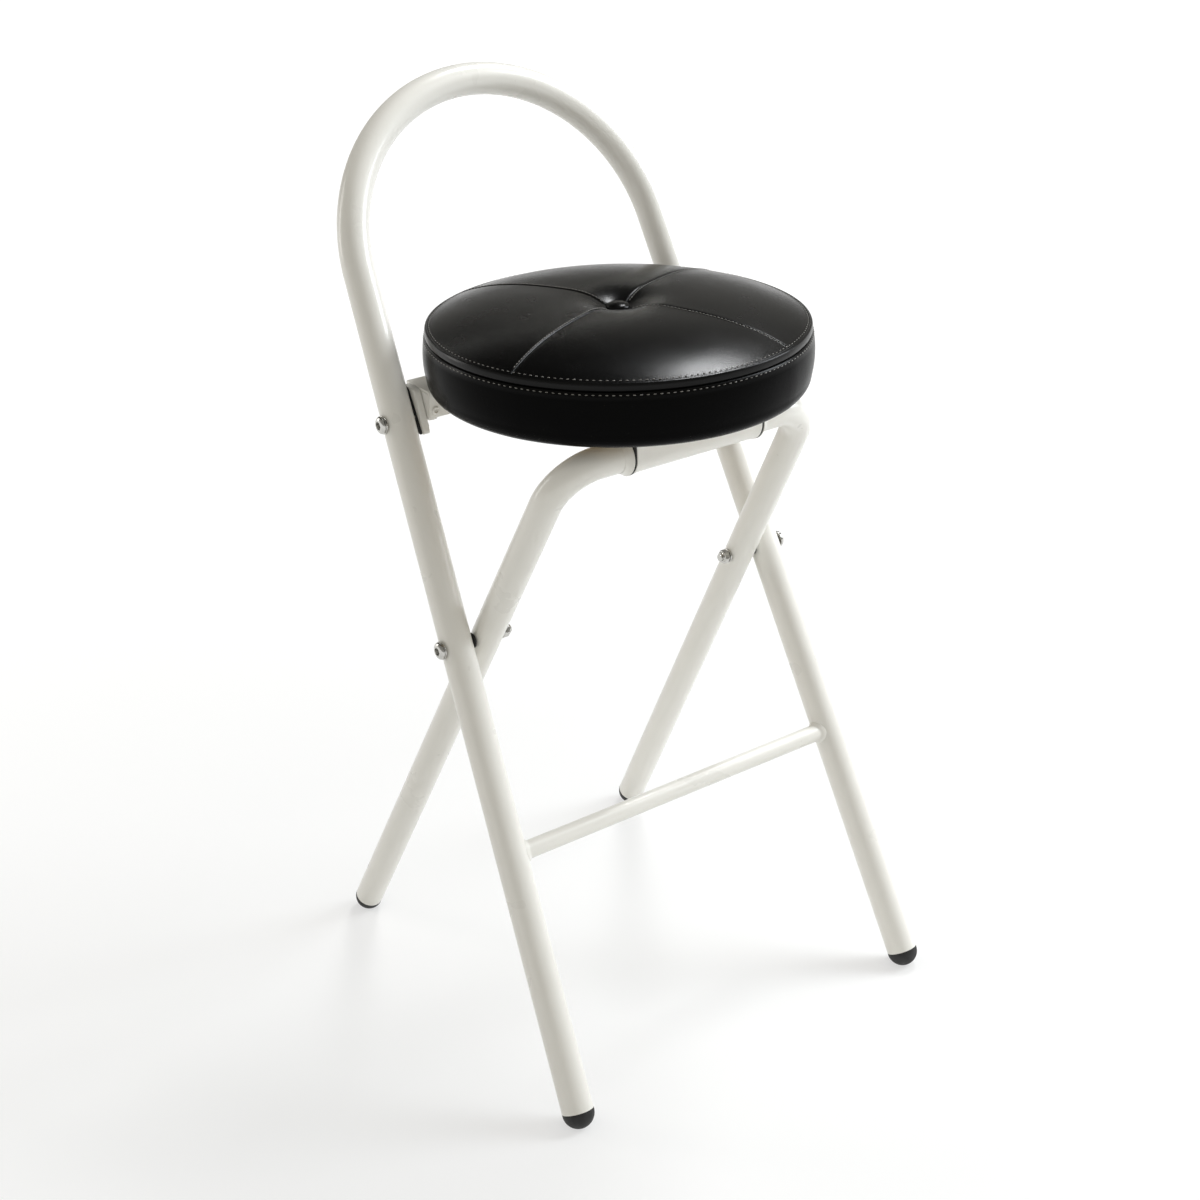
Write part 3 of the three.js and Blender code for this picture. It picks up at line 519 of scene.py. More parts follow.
def tube_start(bm, diameter, wall, matrix, count):
    """The ring-shaped face at a tube's foot."""
    for radius in (diameter / 2, diameter / 2 - wall):
        bmesh.ops.create_circle(bm, cap_ends=False, segments=count, radius=radius, matrix=matrix)
    return bmesh.ops.bridge_loops(bm, edges=bm.edges[:])["faces"]


def leg_straight(sizes, half_width, diameter, lean, splay, to_rise):
    """The foot end and the upper end of a splayed leg's straight, on the left."""
    foot = foot_along(diameter, sizes.foot_flat, lean) + sizes.tip_rim * math.cos(splay)
    start = Vector((-leg_x(half_width, foot, splay), 0, foot))
    end = Vector((-leg_x(half_width, to_rise, splay), 0, to_rise))
    return start, end


def round_tube_ends(bm, diameter, wall):
    """Soften the outer rim where a tube is cut off."""
    ends = [f for f in bm.faces if all(len(v.link_faces) == 3 for v in f.verts)
            and all(len(e.link_faces) == 2 for e in f.edges)]
    lowest = min(v.co.z for v in bm.verts)
    rims = {e for f in ends for e in f.edges if e.calc_length() < 3 * wall
            and all(v.co.z < lowest + diameter for v in e.verts)}
    rims = [e for e in rims if abs(e.calc_face_angle(0)) > RIM_TURN]
    soften(bm, rims, 0.4 * MM, 2)


class STOOL_OT_hoop(bpy.types.Operator):
    """Build the hoop tube with its footrest"""
    bl_idname = "stool.hoop"
    bl_label = "Hoop and Footrest"

    def execute(self, context):
        sizes = context.scene.stool_tubes
        splay = sizes.hoop_splay
        bend = (sizes.hoop_half_width - sizes.hoop_rise * math.tan(splay)) / (
            math.cos(splay) - math.tan(splay) * (1 - math.sin(splay)))
        centre = sizes.hoop_rise - bend
        top = centre + bend * math.sin(splay)
        start, end = leg_straight(sizes, sizes.hoop_half_width, sizes.hoop_diameter, HOOP_LEAN, splay, top)
        bm = bmesh.new()
        slant = Matrix.Translation(start) @ Matrix.Rotation(splay, 4, "Y")
        faces = tube_start(bm, sizes.hoop_diameter, sizes.wall, slant, sizes.around)
        faces = push(bm, faces, end - start)
        faces = sweep_bend(bm, faces, (0, 0, centre), math.pi - 2 * splay, sizes.bend_steps)
        push(bm, faces, Vector((end.x - start.x, 0, start.z - end.z)))
        bmesh.ops.recalc_face_normals(bm, faces=bm.faces)
        round_tube_ends(bm, sizes.hoop_diameter, sizes.wall)
        bmesh.ops.transform(bm, matrix=HOOP_PLANE, verts=bm.verts)
        place_piece(bm, "hoop_tube_painted", "back_frame", "frame_paint", ["hoop_tube"])
        self.add_footrest(sizes)
        return {"FINISHED"}

    def add_footrest(self, sizes):
        """The bar's ends flare into a weld bead and follow the leg's round face."""
        splay = sizes.hoop_splay
        leg = leg_x(sizes.hoop_half_width, -sizes.footrest_drop, splay)
        tube = sizes.hoop_diameter / 2
        bar = sizes.footrest_diameter / 2
        bead = sizes.weld_bead
        # Distance from the leg's face and outward growth, as shares of the bead
        contour = [(1.6, 0.0), (1.15, 0.04), (0.95, 0.3), (0.7, 0.62), (0.4, 0.86), (0.1, 0.98), (-0.4, 1.0)]
        bm = bmesh.new()
        loops = []
        for side in (-1, 1):
            rings = []
            for reach, growth in contour:
                points = []
                for i in range(sizes.around):
                    turn = math.tau * i / sizes.around
                    radius = bar + growth * bead
                    y, z = radius * math.cos(turn), radius * math.sin(turn)
                    face = math.sqrt(tube ** 2 - y ** 2) / math.cos(splay)
                    x = leg - z * math.tan(splay) - face - reach * bead
                    points.append((side * x, y, z - sizes.footrest_drop))
                rings.append(ring_loop(bm, points))
            loops += rings[::-1] if side < 0 else rings
        skin(bm, loops)
        bmesh.ops.holes_fill(bm, edges=loops[0] + loops[-1], sides=0)
        bmesh.ops.transform(bm, matrix=HOOP_PLANE, verts=bm.verts)
        place_piece(bm, "footrest_painted", "back_frame", "frame_paint", ["footrest_bar"], 60.0)


class STOOL_OT_leg_frame(bpy.types.Operator):
    """Build the U-shaped leg frame with the collars on its bar"""
    bl_idname = "stool.leg_frame"
    bl_label = "Leg Frame"

    def execute(self, context):
        sizes = context.scene.stool_tubes
        splay, bend = sizes.leg_splay, sizes.bar_bend
        centre = BAR_RISE - bend
        half = leg_x(sizes.leg_half_width, centre, splay) - bend / math.cos(splay)
        top = centre + bend * math.sin(splay)
        start, end = leg_straight(sizes, sizes.leg_half_width, sizes.leg_diameter, LEG_LEAN, splay, top)
        bm = bmesh.new()
        slant = Matrix.Translation(start) @ Matrix.Rotation(splay, 4, "Y")
        faces = tube_start(bm, sizes.leg_diameter, sizes.wall, slant, sizes.around)
        faces = push(bm, faces, end - start)
        quarter = sizes.bend_steps // 4
        faces = sweep_bend(bm, faces, (-half, 0, centre), math.pi / 2 - splay, quarter)
        faces = push(bm, faces, Vector((2 * half, 0, 0)))
        faces = sweep_bend(bm, faces, (half, 0, centre), math.pi / 2 - splay, quarter)
        push(bm, faces, Vector((end.x - start.x, 0, start.z - end.z)))
        bmesh.ops.recalc_face_normals(bm, faces=bm.faces)
        round_tube_ends(bm, sizes.leg_diameter, sizes.wall)
        bmesh.ops.transform(bm, matrix=LEG_PLANE, verts=bm.verts)
        place_piece(bm, "leg_tube_painted", "leg_frame", "frame_paint", ["leg_tube"])
        self.add_collars(sizes, context.scene.stool_fittings)
        return {"FINISHED"}

    def add_collars(self, sizes, fittings):
        """Each collar is turned: a hollow curve from the bar up to its wide end at the bearing."""
        tube = sizes.leg_diameter / 2
        inner = tube + fittings.clearance / 2
        outer = fittings.strap_inner + fittings.strap + fittings.strap_flare
        edge = 0.4 * MM
        for word, _ in SIDES:
            node = f"bar_collar_{word}"
            _, span = outermost(node)
            curve = [(tube + 0.35 * MM + (outer - tube - 0.35 * MM) * (i / 10) ** 2, -(span - edge) * i / 10)
                     for i in range(1, 11)]
            profile = [(inner, 0), (tube + 0.35 * MM, 0), *curve,
                       *arc((outer - edge, edge - span), edge, 0, -90, 3)[1:], (inner, -span)]
            turn_fitting(node, "leg_frame", "frame_paint", profile, sizes.around)


class STOOL_OT_foot_tips(bpy.types.Operator):
    """Build the four rubber foot tips, worn flat where they stand"""
    bl_idname = "stool.foot_tips"
    bl_label = "Foot Tips"

    def execute(self, context):
        sizes = context.scene.stool_tubes
        gap = context.scene.stool_fittings.clearance
        rows = [("front_tip", "back_frame", HOOP_PLANE, sizes.hoop_half_width, sizes.hoop_diameter,
                 HOOP_LEAN, sizes.hoop_splay),
                ("rear_tip", "leg_frame", LEG_PLANE, sizes.leg_half_width, sizes.leg_diameter,
                 LEG_LEAN, sizes.leg_splay)]
        for name, body, plane, half_width, diameter, lean, splay in rows:
            radius = diameter / 2
            rim = sizes.tip_rim - gap / 2
            plug = radius - sizes.wall - gap
            edge = 0.3 * MM
            profile = [*arc((0, 0), radius, -90, 0, 24), (radius, rim - edge), (radius - edge, rim),
                       (plug, rim), (plug, rim + 18 * MM), (0, rim + 18 * MM)]
            profile[0] = (0.0, -radius)
            along = foot_along(diameter, sizes.foot_flat, lean)
            for word, side in SIDES:
                bm = lathe(profile, sizes.around)
                place = plane @ Matrix.Translation((side * leg_x(half_width, along, splay), 0, along))
                bmesh.ops.transform(bm, matrix=place @ Matrix.Rotation(-side * splay, 4, "Y"), verts=bm.verts)
                bmesh.ops.bisect_plane(bm, geom=bm.verts[:] + bm.edges[:] + bm.faces[:], dist=MERGE,
                                       plane_co=(0, 0, 0), plane_no=(0, 0, 1), clear_inner=True)
                bmesh.ops.holes_fill(bm, edges=[e for e in bm.edges if e.is_boundary], sides=0)
                place_piece(bm, f"{name}_{word}_rubber", body, "tip_rubber", [f"{name}_{word}"])
        return {"FINISHED"}


# Bolts, washers and nuts

class STOOL_OT_bolts(bpy.types.Operator):
    """Build the pivot and catch bolts with their washers, spacers, sleeves and nuts"""
    bl_idname = "stool.bolts"
    bl_label = "Bolts and Nuts"

    def execute(self, context):
        sizes = context.scene.stool_fittings
        for word, _ in SIDES:
            for group in ("cross", "catch"):
                self.add_bolt(sizes, f"{group}_bolt_{word}")
                self.add_ring(sizes, f"{group}_washer_{word}", "bolt_steel", sizes.washer_radius)
                self.add_nut(sizes, f"{group}_nut_{word}")
            self.add_ring(sizes, f"cross_inner_washer_{word}", "bolt_steel", sizes.inner_washer_radius)
            self.add_ring(sizes, f"cross_spacer_{word}", "black_nylon", sizes.spacer_radius)
            self.add_ring(sizes, f"catch_sleeve_{word}", "bolt_steel", sizes.sleeve_radius)
        return {"FINISHED"}

    def add_ring(self, sizes, node, slot, radius):
        """A washer, spacer or sleeve with softened rims."""
        _, span = outermost(node)
        edge = min(0.25 * MM, span / 4)
        profile = [(sizes.bore_radius, 0), *arc((radius - edge, -edge), edge, 90, 0, 3),
                   *arc((radius - edge, edge - span), edge, 0, -90, 3), (sizes.bore_radius, -span)]
        turn_fitting(node, "back_frame", slot, profile, sizes.around)

    def add_bolt(self, sizes, node):
        """A low button head, nearly flat round its hexagon socket, on a plain shank."""
        place, span = outermost(node)
        dome = sizes.head_radius
        height = sizes.head_height
        lip = 0.8 * MM
        opening = sizes.socket_radius
        points = [(sizes.bolt_radius, -span), (sizes.bolt_radius, -height), (dome - 0.2 * MM, -height),
                  (dome, -height + 0.2 * MM), (dome, -height + lip)]
        for i in range(1, 13):
            radius = dome + (opening - dome) * i / 12
            fall = 1 - (1 - (radius / dome) ** 3.2) ** 0.55 if radius < dome else 1.0
            points.append((radius, -fall * (height - lip)))
        count = sizes.around
        bm = bmesh.new()
        loops = []
        for k, (radius, distance) in enumerate(points):
            turns = [math.tau * i / count for i in range(count)]
            last = k == len(points) - 1
            reach = [hexagon_reach(t, opening * math.cos(math.pi / 6)) if last else radius for t in turns]
            loops.append(ring_loop(bm, [(r * math.cos(t), r * math.sin(t), distance)
                                        for r, t in zip(reach, turns)]))
        top = points[-1][1]
        for inset, depth in ((1.0, sizes.socket_depth), (0.3, sizes.socket_depth + 0.5 * MM)):
            turns = [math.tau * i / count for i in range(count)]
            reach = [inset * hexagon_reach(t, opening * math.cos(math.pi / 6)) for t in turns]
            loops.append(ring_loop(bm, [(r * math.cos(t), r * math.sin(t), top - depth)
                                        for r, t in zip(reach, turns)]))
        skin(bm, loops)
        bmesh.ops.holes_fill(bm, edges=loops[0] + loops[-1], sides=0)
        bmesh.ops.transform(bm, matrix=place, verts=bm.verts)
        place_piece(bm, f"{node}_dressed", "back_frame", "bolt_steel", [node], 30.0)

    def add_nut(self, sizes, node):
        """A lock nut: chamfered hexagon, then a round collar over a nylon ring."""
        place, span = outermost(node)
        apothem = sizes.nut_across / 2
        corner = apothem / math.cos(math.pi / 6)
        body = span - sizes.nut_collar
        cone = [(0.0, 0.94), (0.5 * MM, 0.985), (0.95 * MM, 1.0)]
        rings = [(d, share) for d, share in cone]
        rings += [(body - 0.8 * MM, 1.0), (body - 0.45 * MM, 0.97), (body - 0.15 * MM, 0.9)]
        count = sizes.around
        turns = [math.tau * i / count for i in range(count)]
        bm = bmesh.new()
        bore = sizes.bore_radius

        def circle(radius, distance):
            return ring_loop(bm, [(radius * math.cos(t), radius * math.sin(t), -distance) for t in turns])

        loops = [circle(bore, 0)]
        for distance, share in rings:
            reach = [min(hexagon_reach(t, apothem), share * corner) for t in turns]
            loops.append(ring_loop(bm, [(r * math.cos(t), r * math.sin(t), -distance)
                                        for r, t in zip(reach, turns)]))
        collar = sizes.nut_collar_radius
        loops += [circle(collar + 0.2 * MM, body), circle(collar, body + 0.2 * MM),
                  circle(collar, span - 0.4 * MM), circle(collar - 0.4 * MM, span),
                  circle(bore, span)]
        skin(bm, loops)
        bmesh.ops.bridge_loops(bm, edges=loops[0] + loops[-1])
        bmesh.ops.transform(bm, matrix=place, verts=bm.verts)
        place_piece(bm, f"{node}_dressed", "back_frame", "bolt_steel", [node], 30.0)


# Seat fittings

class STOOL_OT_saddle(bpy.types.Operator):
    """Build the front saddle with its nylon bearings and screws"""
    bl_idname = "stool.saddle"
    bl_label = "Front Saddle"

    def execute(self, context):
        sizes = context.scene.stool_fittings
        self.add_strap(sizes)
        for word, side in SIDES:
            self.add_bearing(sizes, word, side)
        for i in range(1, 5):
            add_pan_screw(f"saddle_screw_{i}", sizes)
        return {"FINISHED"}

    def add_strap(self, sizes):
        """A pressed strap under the bar, with flanges above and flared ends."""
        inner, thick = sizes.strap_inner, sizes.strap
        outer_bend = 2 * thick
        reach = inner + thick + sizes.strap_flange
        top = UNDERSIDE - BAR.z
        low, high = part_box("front_saddle")
        half = (high.x - low.x) / 2
        left = [(-reach, top), *arc((-inner - outer_bend, top - outer_bend), outer_bend, 90, 0, 6)]
        under = arc((0, 0), inner, 180, 360, 32)
        path = left + under + [(-y, z) for y, z in reversed(left)]
        bm = bmesh.new()
        verts = [bm.verts.new((-half, y, z)) for y, z in path]
        edges = [bm.edges.new(pair) for pair in zip(verts, verts[1:])]
        flare = sizes.flare_length
        stations = [flare * share for share in (0.15, 0.35, 0.6, 0.8, 1.0)]
        stops = [*stations, *[2 * half - s for s in reversed(stations)], 2 * half]
        here = 0.0
        for stop in stops:
            made = bmesh.ops.extrude_edge_only(bm, edges=edges)["geom"]
            moved = [g for g in made if isinstance(g, bmesh.types.BMVert)]
            bmesh.ops.translate(bm, verts=moved, vec=(stop - here, 0, 0))
            edges = [g for g in made if isinstance(g, bmesh.types.BMEdge)]
            here = stop
        for v in bm.verts:
            inward = half - abs(v.co.x)
            if inward < flare and v.co.z < top - outer_bend:
                share = 1 - inward / flare
                upright = min(1.0, (top - outer_bend - v.co.z) / (6 * MM))
                radial = Vector((0, v.co.y, min(0.0, v.co.z)))
                v.co += radial.normalized() * sizes.strap_flare * share ** 1.6 * upright
        corners = [v for v in bm.verts if len(v.link_faces) == 1]
        bmesh.ops.bevel(bm, geom=corners, offset=3 * MM, segments=5, profile=0.5,
                        affect="VERTICES", material=-1)
        bmesh.ops.recalc_face_normals(bm, faces=bm.faces)
        middle_face = min(bm.faces, key=lambda f: f.calc_center_median().z)
        if middle_face.normal.z > 0:
            bmesh.ops.reverse_faces(bm, faces=bm.faces)
        bmesh.ops.solidify(bm, geom=bm.faces[:], thickness=-thick)
        bmesh.ops.recalc_face_normals(bm, faces=bm.faces)
        rims = [e for e in bm.edges if e.calc_face_angle(0) > RIM_TURN]
        soften(bm, rims, 0.3 * MM, 2)
        bmesh.ops.translate(bm, verts=bm.verts, vec=(0, BAR.y, BAR.z))
        place_piece(bm, "saddle_painted", "seat", "frame_paint", ["front_saddle"], 40.0)

    def add_bearing(self, sizes, word, side):
        """A block round the bar inside the strap, with a lip outside the strap's end."""
        node = f"saddle_bearing_{word}"
        low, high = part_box(node)
        top = high.z - BAR.z
        bore = sizes.strap_inner - sizes.clearance - sizes.bearing_wall
        block = sizes.strap_inner - sizes.clearance
        lip = sizes.strap_inner + sizes.strap + sizes.strap_flare
        count = 48
        near, far = sorted((abs(low.x), abs(high.x)))
        lip_start = far - sizes.bearing_lip

        def outline(radius, x):
            points = []
            for i in range(count):
                t = math.tau * (i + 0.5) / count - math.pi / 2
                y, z = radius * math.cos(t), radius * math.sin(t)
                if z > 0:
                    scale = min(radius / abs(math.cos(t)) if abs(math.cos(t)) > 1e-6 else 1e9, top / math.sin(t))
                    y, z = scale * math.cos(t), scale * math.sin(t)
                points.append((side * x, y, z))
            return points

        def circle(radius, x):
            turns = [math.tau * (i + 0.5) / count - math.pi / 2 for i in range(count)]
            return [(side * x, radius * math.cos(t), radius * math.sin(t)) for t in turns]

        bm = bmesh.new()
        rows = [circle(bore, near), outline(block, near), outline(block, lip_start), outline(lip - 0.3 * MM, lip_start),
                outline(lip, lip_start + 0.3 * MM), outline(lip, far - 0.3 * MM), outline(lip - 0.3 * MM, far),
                circle(bore, far)]
        loops = [ring_loop(bm, row) for row in rows]
        skin(bm, loops)
        bmesh.ops.bridge_loops(bm, edges=loops[0] + loops[-1])
        bmesh.ops.translate(bm, verts=bm.verts, vec=(0, BAR.y, BAR.z))
        place_piece(bm, f"{node}_nylon", "seat", "black_nylon", [node], 40.0)


def add_pan_screw(node, sizes):
    """A pan-head screw under the seat with a cross recess in its head."""
    low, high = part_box(node)
    radius = 4 * MM
    head = 2.2 * MM
    count = sizes.around
    turns = [math.tau * i / count for i in range(count)]
    bm = bmesh.new()

    def recess(share, distance):
        reach = [share * (0.9 + 1.3 * abs(math.cos(2 * t)) ** 6) * MM for t in turns]
        return ring_loop(bm, [(r * math.cos(t), r * math.sin(t), distance) for r, t in zip(reach, turns)])

    def circle(size, distance):
        return ring_loop(bm, [(size * math.cos(t), size * math.sin(t), distance) for t in turns])

    loops = [circle(2 * MM, high.z - low.z), circle(2 * MM, head), circle(radius - 0.2 * MM, head),
             circle(radius, head - 0.2 * MM), circle(radius, head - 0.7 * MM),
             circle(radius * 0.93, 0.65 * MM), circle(radius * 0.75, 0.2 * MM), circle(radius * 0.6, 0.02 * MM),
             recess(1.0, 0.0), recess(0.8, 1.2 * MM), recess(0.3, 1.6 * MM)]
    skin(bm, loops)
    bmesh.ops.holes_fill(bm, edges=loops[0] + loops[-1], sides=0)
    place = Vector(((low.x + high.x) / 2, (low.y + high.y) / 2, low.z))
    bmesh.ops.translate(bm, verts=bm.verts, vec=place)
    place_piece(bm, f"{node}_dressed", "seat", "bolt_steel", [node], 40.0)


class STOOL_OT_rail(bpy.types.Operator):
    """Build the rear rail with its catches, pin plates, rivets and screws"""
    bl_idname = "stool.rail"
    bl_label = "Rear Rail and Catches"

    def execute(self, context):
        sizes = context.scene.stool_fittings
        self.add_rail(sizes)
        for word, side in SIDES:
            self.add_catch(sizes, word, side)
            self.add_plates(sizes, word)
            self.add_rivet(sizes, word)
        for i in range(1, 3):
            add_pan_screw(f"rail_screw_{i}", sizes)
        return {"FINISHED"}

    def add_rail(self, sizes):
        """A pressed angle: a top plate under the board and a web in front of the catches."""
        low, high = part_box("rear_rail")
        thick, bend = sizes.rail, sizes.rail_bend
        path = [(low.y, low.z), *arc((low.y + bend, high.z - bend), bend, 180, 90, 8), (high.y, high.z)]
        bm = bmesh.new()
        verts = [bm.verts.new((low.x, y, z)) for y, z in path]
        edges = [bm.edges.new(pair) for pair in zip(verts, verts[1:])]
        made = bmesh.ops.extrude_edge_only(bm, edges=edges)["geom"]
        moved = [g for g in made if isinstance(g, bmesh.types.BMVert)]
        bmesh.ops.translate(bm, verts=moved, vec=(high.x - low.x, 0, 0))
        corners = [v for v in bm.verts if len(v.link_faces) == 1]
        bmesh.ops.bevel(bm, geom=corners, offset=2 * MM, segments=5, profile=0.5,
                        affect="VERTICES", material=-1)
        bmesh.ops.recalc_face_normals(bm, faces=bm.faces)
        web = min(bm.faces, key=lambda f: f.calc_center_median().z)
        if web.normal.y > 0:
            bmesh.ops.reverse_faces(bm, faces=bm.faces)
        bmesh.ops.solidify(bm, geom=bm.faces[:], thickness=thick)
        bmesh.ops.recalc_face_normals(bm, faces=bm.faces)
        rims = [e for e in bm.edges if e.calc_face_angle(0) > RIM_TURN]
        soften(bm, rims, 0.35 * MM, 2)
        place_piece(bm, "rail_painted", "seat", "frame_paint", ["rear_rail"], 40.0)

    def add_catch(self, sizes, word, side):
        """A hook that opens down and forward round the pin, and a lug inside the rail."""
        node = f"seat_catch_{word}"
        low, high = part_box(node)
        top = high.z - PIN.z
        front = low.y - PIN.y
        back = high.y - PIN.y
        drop = low.z - PIN.z
        seat = 5.3 * MM
        corner, heel, mouth = 3 * MM, sizes.catch_heel, -2 * MM
        slope = Vector((-math.cos(sizes.slot_angle), -math.sin(sizes.slot_angle)))
        wall = Vector((math.sin(sizes.slot_angle), -math.cos(sizes.slot_angle))) * seat
        run = (wall.y - drop) / -slope.y
        start = 180 + math.degrees(math.asin(-mouth / seat))
        end = math.degrees(math.atan2(wall.y, wall.x))
        outline = [(front, top - corner), (front, mouth), *arc((0, 0), seat, start, end, 20),
                   (wall.x + slope.x * run, drop), *arc((back - heel, drop + heel), heel, -90, 0, 8),
                   *arc((back - corner, top - corner), corner, 0, 90, 5),
                   *arc((front + corner, top - corner), corner, 90, 180, 5)[:-1]]
        outer = high.x if side > 0 else low.x
        inner = outer - side * sizes.catch_width
        place = Matrix.Translation((0, PIN.y, PIN.z))
        bm = slab(outline, min(outer, inner), max(outer, inner), 0.6 * MM, place)
        rail_low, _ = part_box("rear_rail")
        lug_low = rail_low.y + sizes.rail + sizes.clearance
        lug_high = lug_low + sizes.lug_depth
        lug_end = low.x if side > 0 else high.x
        lug = [(lug_low, high.z - 18 * MM), (lug_high, high.z - 18 * MM), (lug_high, high.z), (lug_low, high.z)]
        near, far = sorted((lug_end, inner + side * 1 * MM))
        add_into(bm, slab(lug, near, far, 0.5 * MM))
        place_piece(bm, f"{node}_nylon", "seat", "white_nylon", [node], 40.0)

    def add_plates(self, sizes, word):
        """The white plate beside the rail's end and the black pad behind it, leaning back."""
        corner = sizes.plate_corner
        rows = [("pin_plate", "white_nylon", -sizes.plate_front, sizes.plate_back, sizes.plate_lean, 0.8 * MM),
                ("pin_pad", "black_nylon", -sizes.pad_reach, sizes.pad_reach, HOOP_LEAN, 0.2 * MM)]
        for name, slot, front, back, lean, edge in rows:
            low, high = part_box(f"{name}_{word}")
            drop, top = low.z - PIN.z, high.z - PIN.z
            outline = [*arc((back - corner, drop + corner), corner, -90, 0, 6),
                       *arc((back - corner, top - corner), corner, 0, 90, 6),
                       *arc((front + corner, top - corner), corner, 90, 180, 6),
                       *arc((front + corner, drop + corner), corner, 180, 270, 6)]
            leaning = [(y + z * math.tan(lean), z) for y, z in outline]
            place = Matrix.Translation((0, PIN.y, PIN.z))
            bm = slab(leaning, low.x, high.x, edge, place)
            place_piece(bm, f"{name}_{word}_nylon", "back_frame", slot, [f"{name}_{word}"], 40.0)

    def add_rivet(self, sizes, word):
        """A hollow rivet whose rolled rim stands on the rail's web."""
        node = f"catch_rivet_{word}"
        low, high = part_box(node)
        span = high.y - low.y
        shank, rim, hollow, head = 2.0 * MM, 3.2 * MM, 1.7 * MM, 1.2 * MM
        profile = [(0, span * 0.8), (hollow, span * 0.8), (hollow, 0.5 * MM),
                   *arc((hollow + 0.45 * MM, 0.45 * MM), 0.45 * MM, 180, 270, 4),
                   *arc((rim - 0.9 * MM, 0.9 * MM), 0.9 * MM, 270, 360, 4), (rim, head), (shank, head),
                   (shank, span), (0, span)]
        bm = lathe(profile, 32)
        place = Matrix.Translation(((low.x + high.x) / 2, low.y, (low.z + high.z) / 2))
        bmesh.ops.transform(bm, matrix=place @ Matrix.Rotation(math.radians(-90), 4, "X"), verts=bm.verts)
        place_piece(bm, f"{node}_painted", "seat", "frame_paint", [node], 40.0)


class STOOL_OT_board(bpy.types.Operator):
    """Build the plywood seat board"""
    bl_idname = "stool.board"
    bl_label = "Seat Board"

    def execute(self, context):
        low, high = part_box("seat_board")
        radius = (high.x - low.x) / 2
        edge = 1 * MM
        thick = high.z - low.z
        profile = [(0, 0), (radius - edge, 0), *arc((radius - edge, edge), edge, -90, 0, 3)[1:],
                   *arc((radius - edge, thick - edge), edge, 0, 90, 3), (0, thick)]
        bm = lathe(profile, 128)
        bmesh.ops.translate(bm, verts=bm.verts, vec=(SEAT.x, SEAT.y, low.z))
        place_piece(bm, "board_plywood", "seat", "board_plywood", ["seat_board"])
        return {"FINISHED"}


# Cushion

def crown_height(sizes, radius):
    """Height of the crown over the underside, with the soft funnel that the button pulls."""
    edge = sizes.band_height + sizes.welt_width + sizes.groove_width
    widest = sizes.radius - sizes.welt_inset - sizes.groove
    swell = sizes.crown_rise * (1 - min(1.0, radius / widest) ** 3.8)
    reach = max(0.0, radius - sizes.dimple_floor) / (sizes.dimple_radius - sizes.dimple_floor)
    dip = sizes.dimple * (1 - min(1.0, reach)) ** 2.6
    return edge + swell - dip


def cover_profile(sizes, fine):
    """Section of the cover from the board's pocket round the band to the middle of the crown.

    Each row is radius, height and the part that it belongs to.
    """
    low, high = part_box("seat_board")
    pocket = (high.x - low.x) / 2 + 0.5 * MM
    lift = sizes.board_thickness + 0.6 * MM
    inward = sizes.radius - sizes.band_bulge - sizes.bottom_round
    rows = [(pocket * 0.1, lift, "pocket"), (pocket * 0.5, lift, "pocket"), (pocket, lift, "pocket"),
            (pocket, 0.6 * MM, "pocket"), (pocket + 0.6 * MM, 0.0, "bottom")]
    count = 10 if fine else 5
    rows += [(inward + r, z, "bottom") for r, z in arc((0.0, sizes.bottom_round), sizes.bottom_round, -90, 0, count)]
    count = 18 if fine else 7
    top = sizes.band_height
    for i in range(1, count + 1):
        share = i / count
        swell = sizes.band_bulge * (1 - (2 * share - 1) ** 2)
        rows.append((sizes.radius - sizes.band_bulge + swell, sizes.bottom_round + (top - sizes.bottom_round) * share, "band"))
    wide = sizes.radius - sizes.band_bulge
    strip = sizes.radius - sizes.welt_inset
    floor = strip - sizes.groove
    gap = sizes.groove_width
    if fine:
        rows[-1] = (wide - 0.5 * MM, top - 0.1 * MM, "band")
        rows += [(wide - 1.1 * MM, top + 0.05 * gap, "welt"), (floor, top + 0.35 * gap, "welt"),
                 (floor, top + 0.65 * gap, "welt"), (strip - 0.7 * MM, top + 0.95 * gap, "welt")]
        for i in range(9):
            share = i / 8
            swell = 0.5 * MM * (1 - (2 * share - 1) ** 2)
            lean = -0.5 * MM * share
            rows.append((strip + swell + lean, top + gap + sizes.welt_width * share, "welt"))
        edge = top + gap + sizes.welt_width
        rows += [(strip - 1.2 * MM, edge + 0.15 * gap, "welt"), (floor - 0.5 * MM, edge + 0.4 * gap, "welt"),
                 (floor - 0.5 * MM, edge + 0.7 * gap, "welt")]
    else:
        rows.append((strip, top + gap + sizes.welt_width / 2, "welt"))
    widest = sizes.radius - sizes.welt_inset - sizes.groove
    shares = [0.9975, 0.99, 0.978, 0.962] if fine else [0.985]
    shares += [0.945 - 0.015 * i for i in range(60)] if fine else [0.95 - 0.05 * i for i in range(18)]
    shares = [s for s in shares if s * widest > sizes.dimple_floor * 0.55]
    rows += [(s * widest, crown_height(sizes, s * widest), "crown") for s in shares]
    rows += [(sizes.dimple_floor * s, crown_height(sizes, 0.0), "crown") for s in (0.4, 0.2)]
    return rows


SEAM_OFFSETS = (0.0, 0.25, 0.5, 0.8, 1.2, 1.8, 2.6, 4.0, 6.5)
SEAM_FALL = (1.0, 0.78, 0.5, 0.3, 0.17, 0.08, 0.03, 0.0, 0.0)
# How far the simulated shell starts inside the finished cover
SHELL_GAP = 1.2 * MM
# Height above the underside from which stitches are dropped on the crown
STITCH_DROP = 0.09


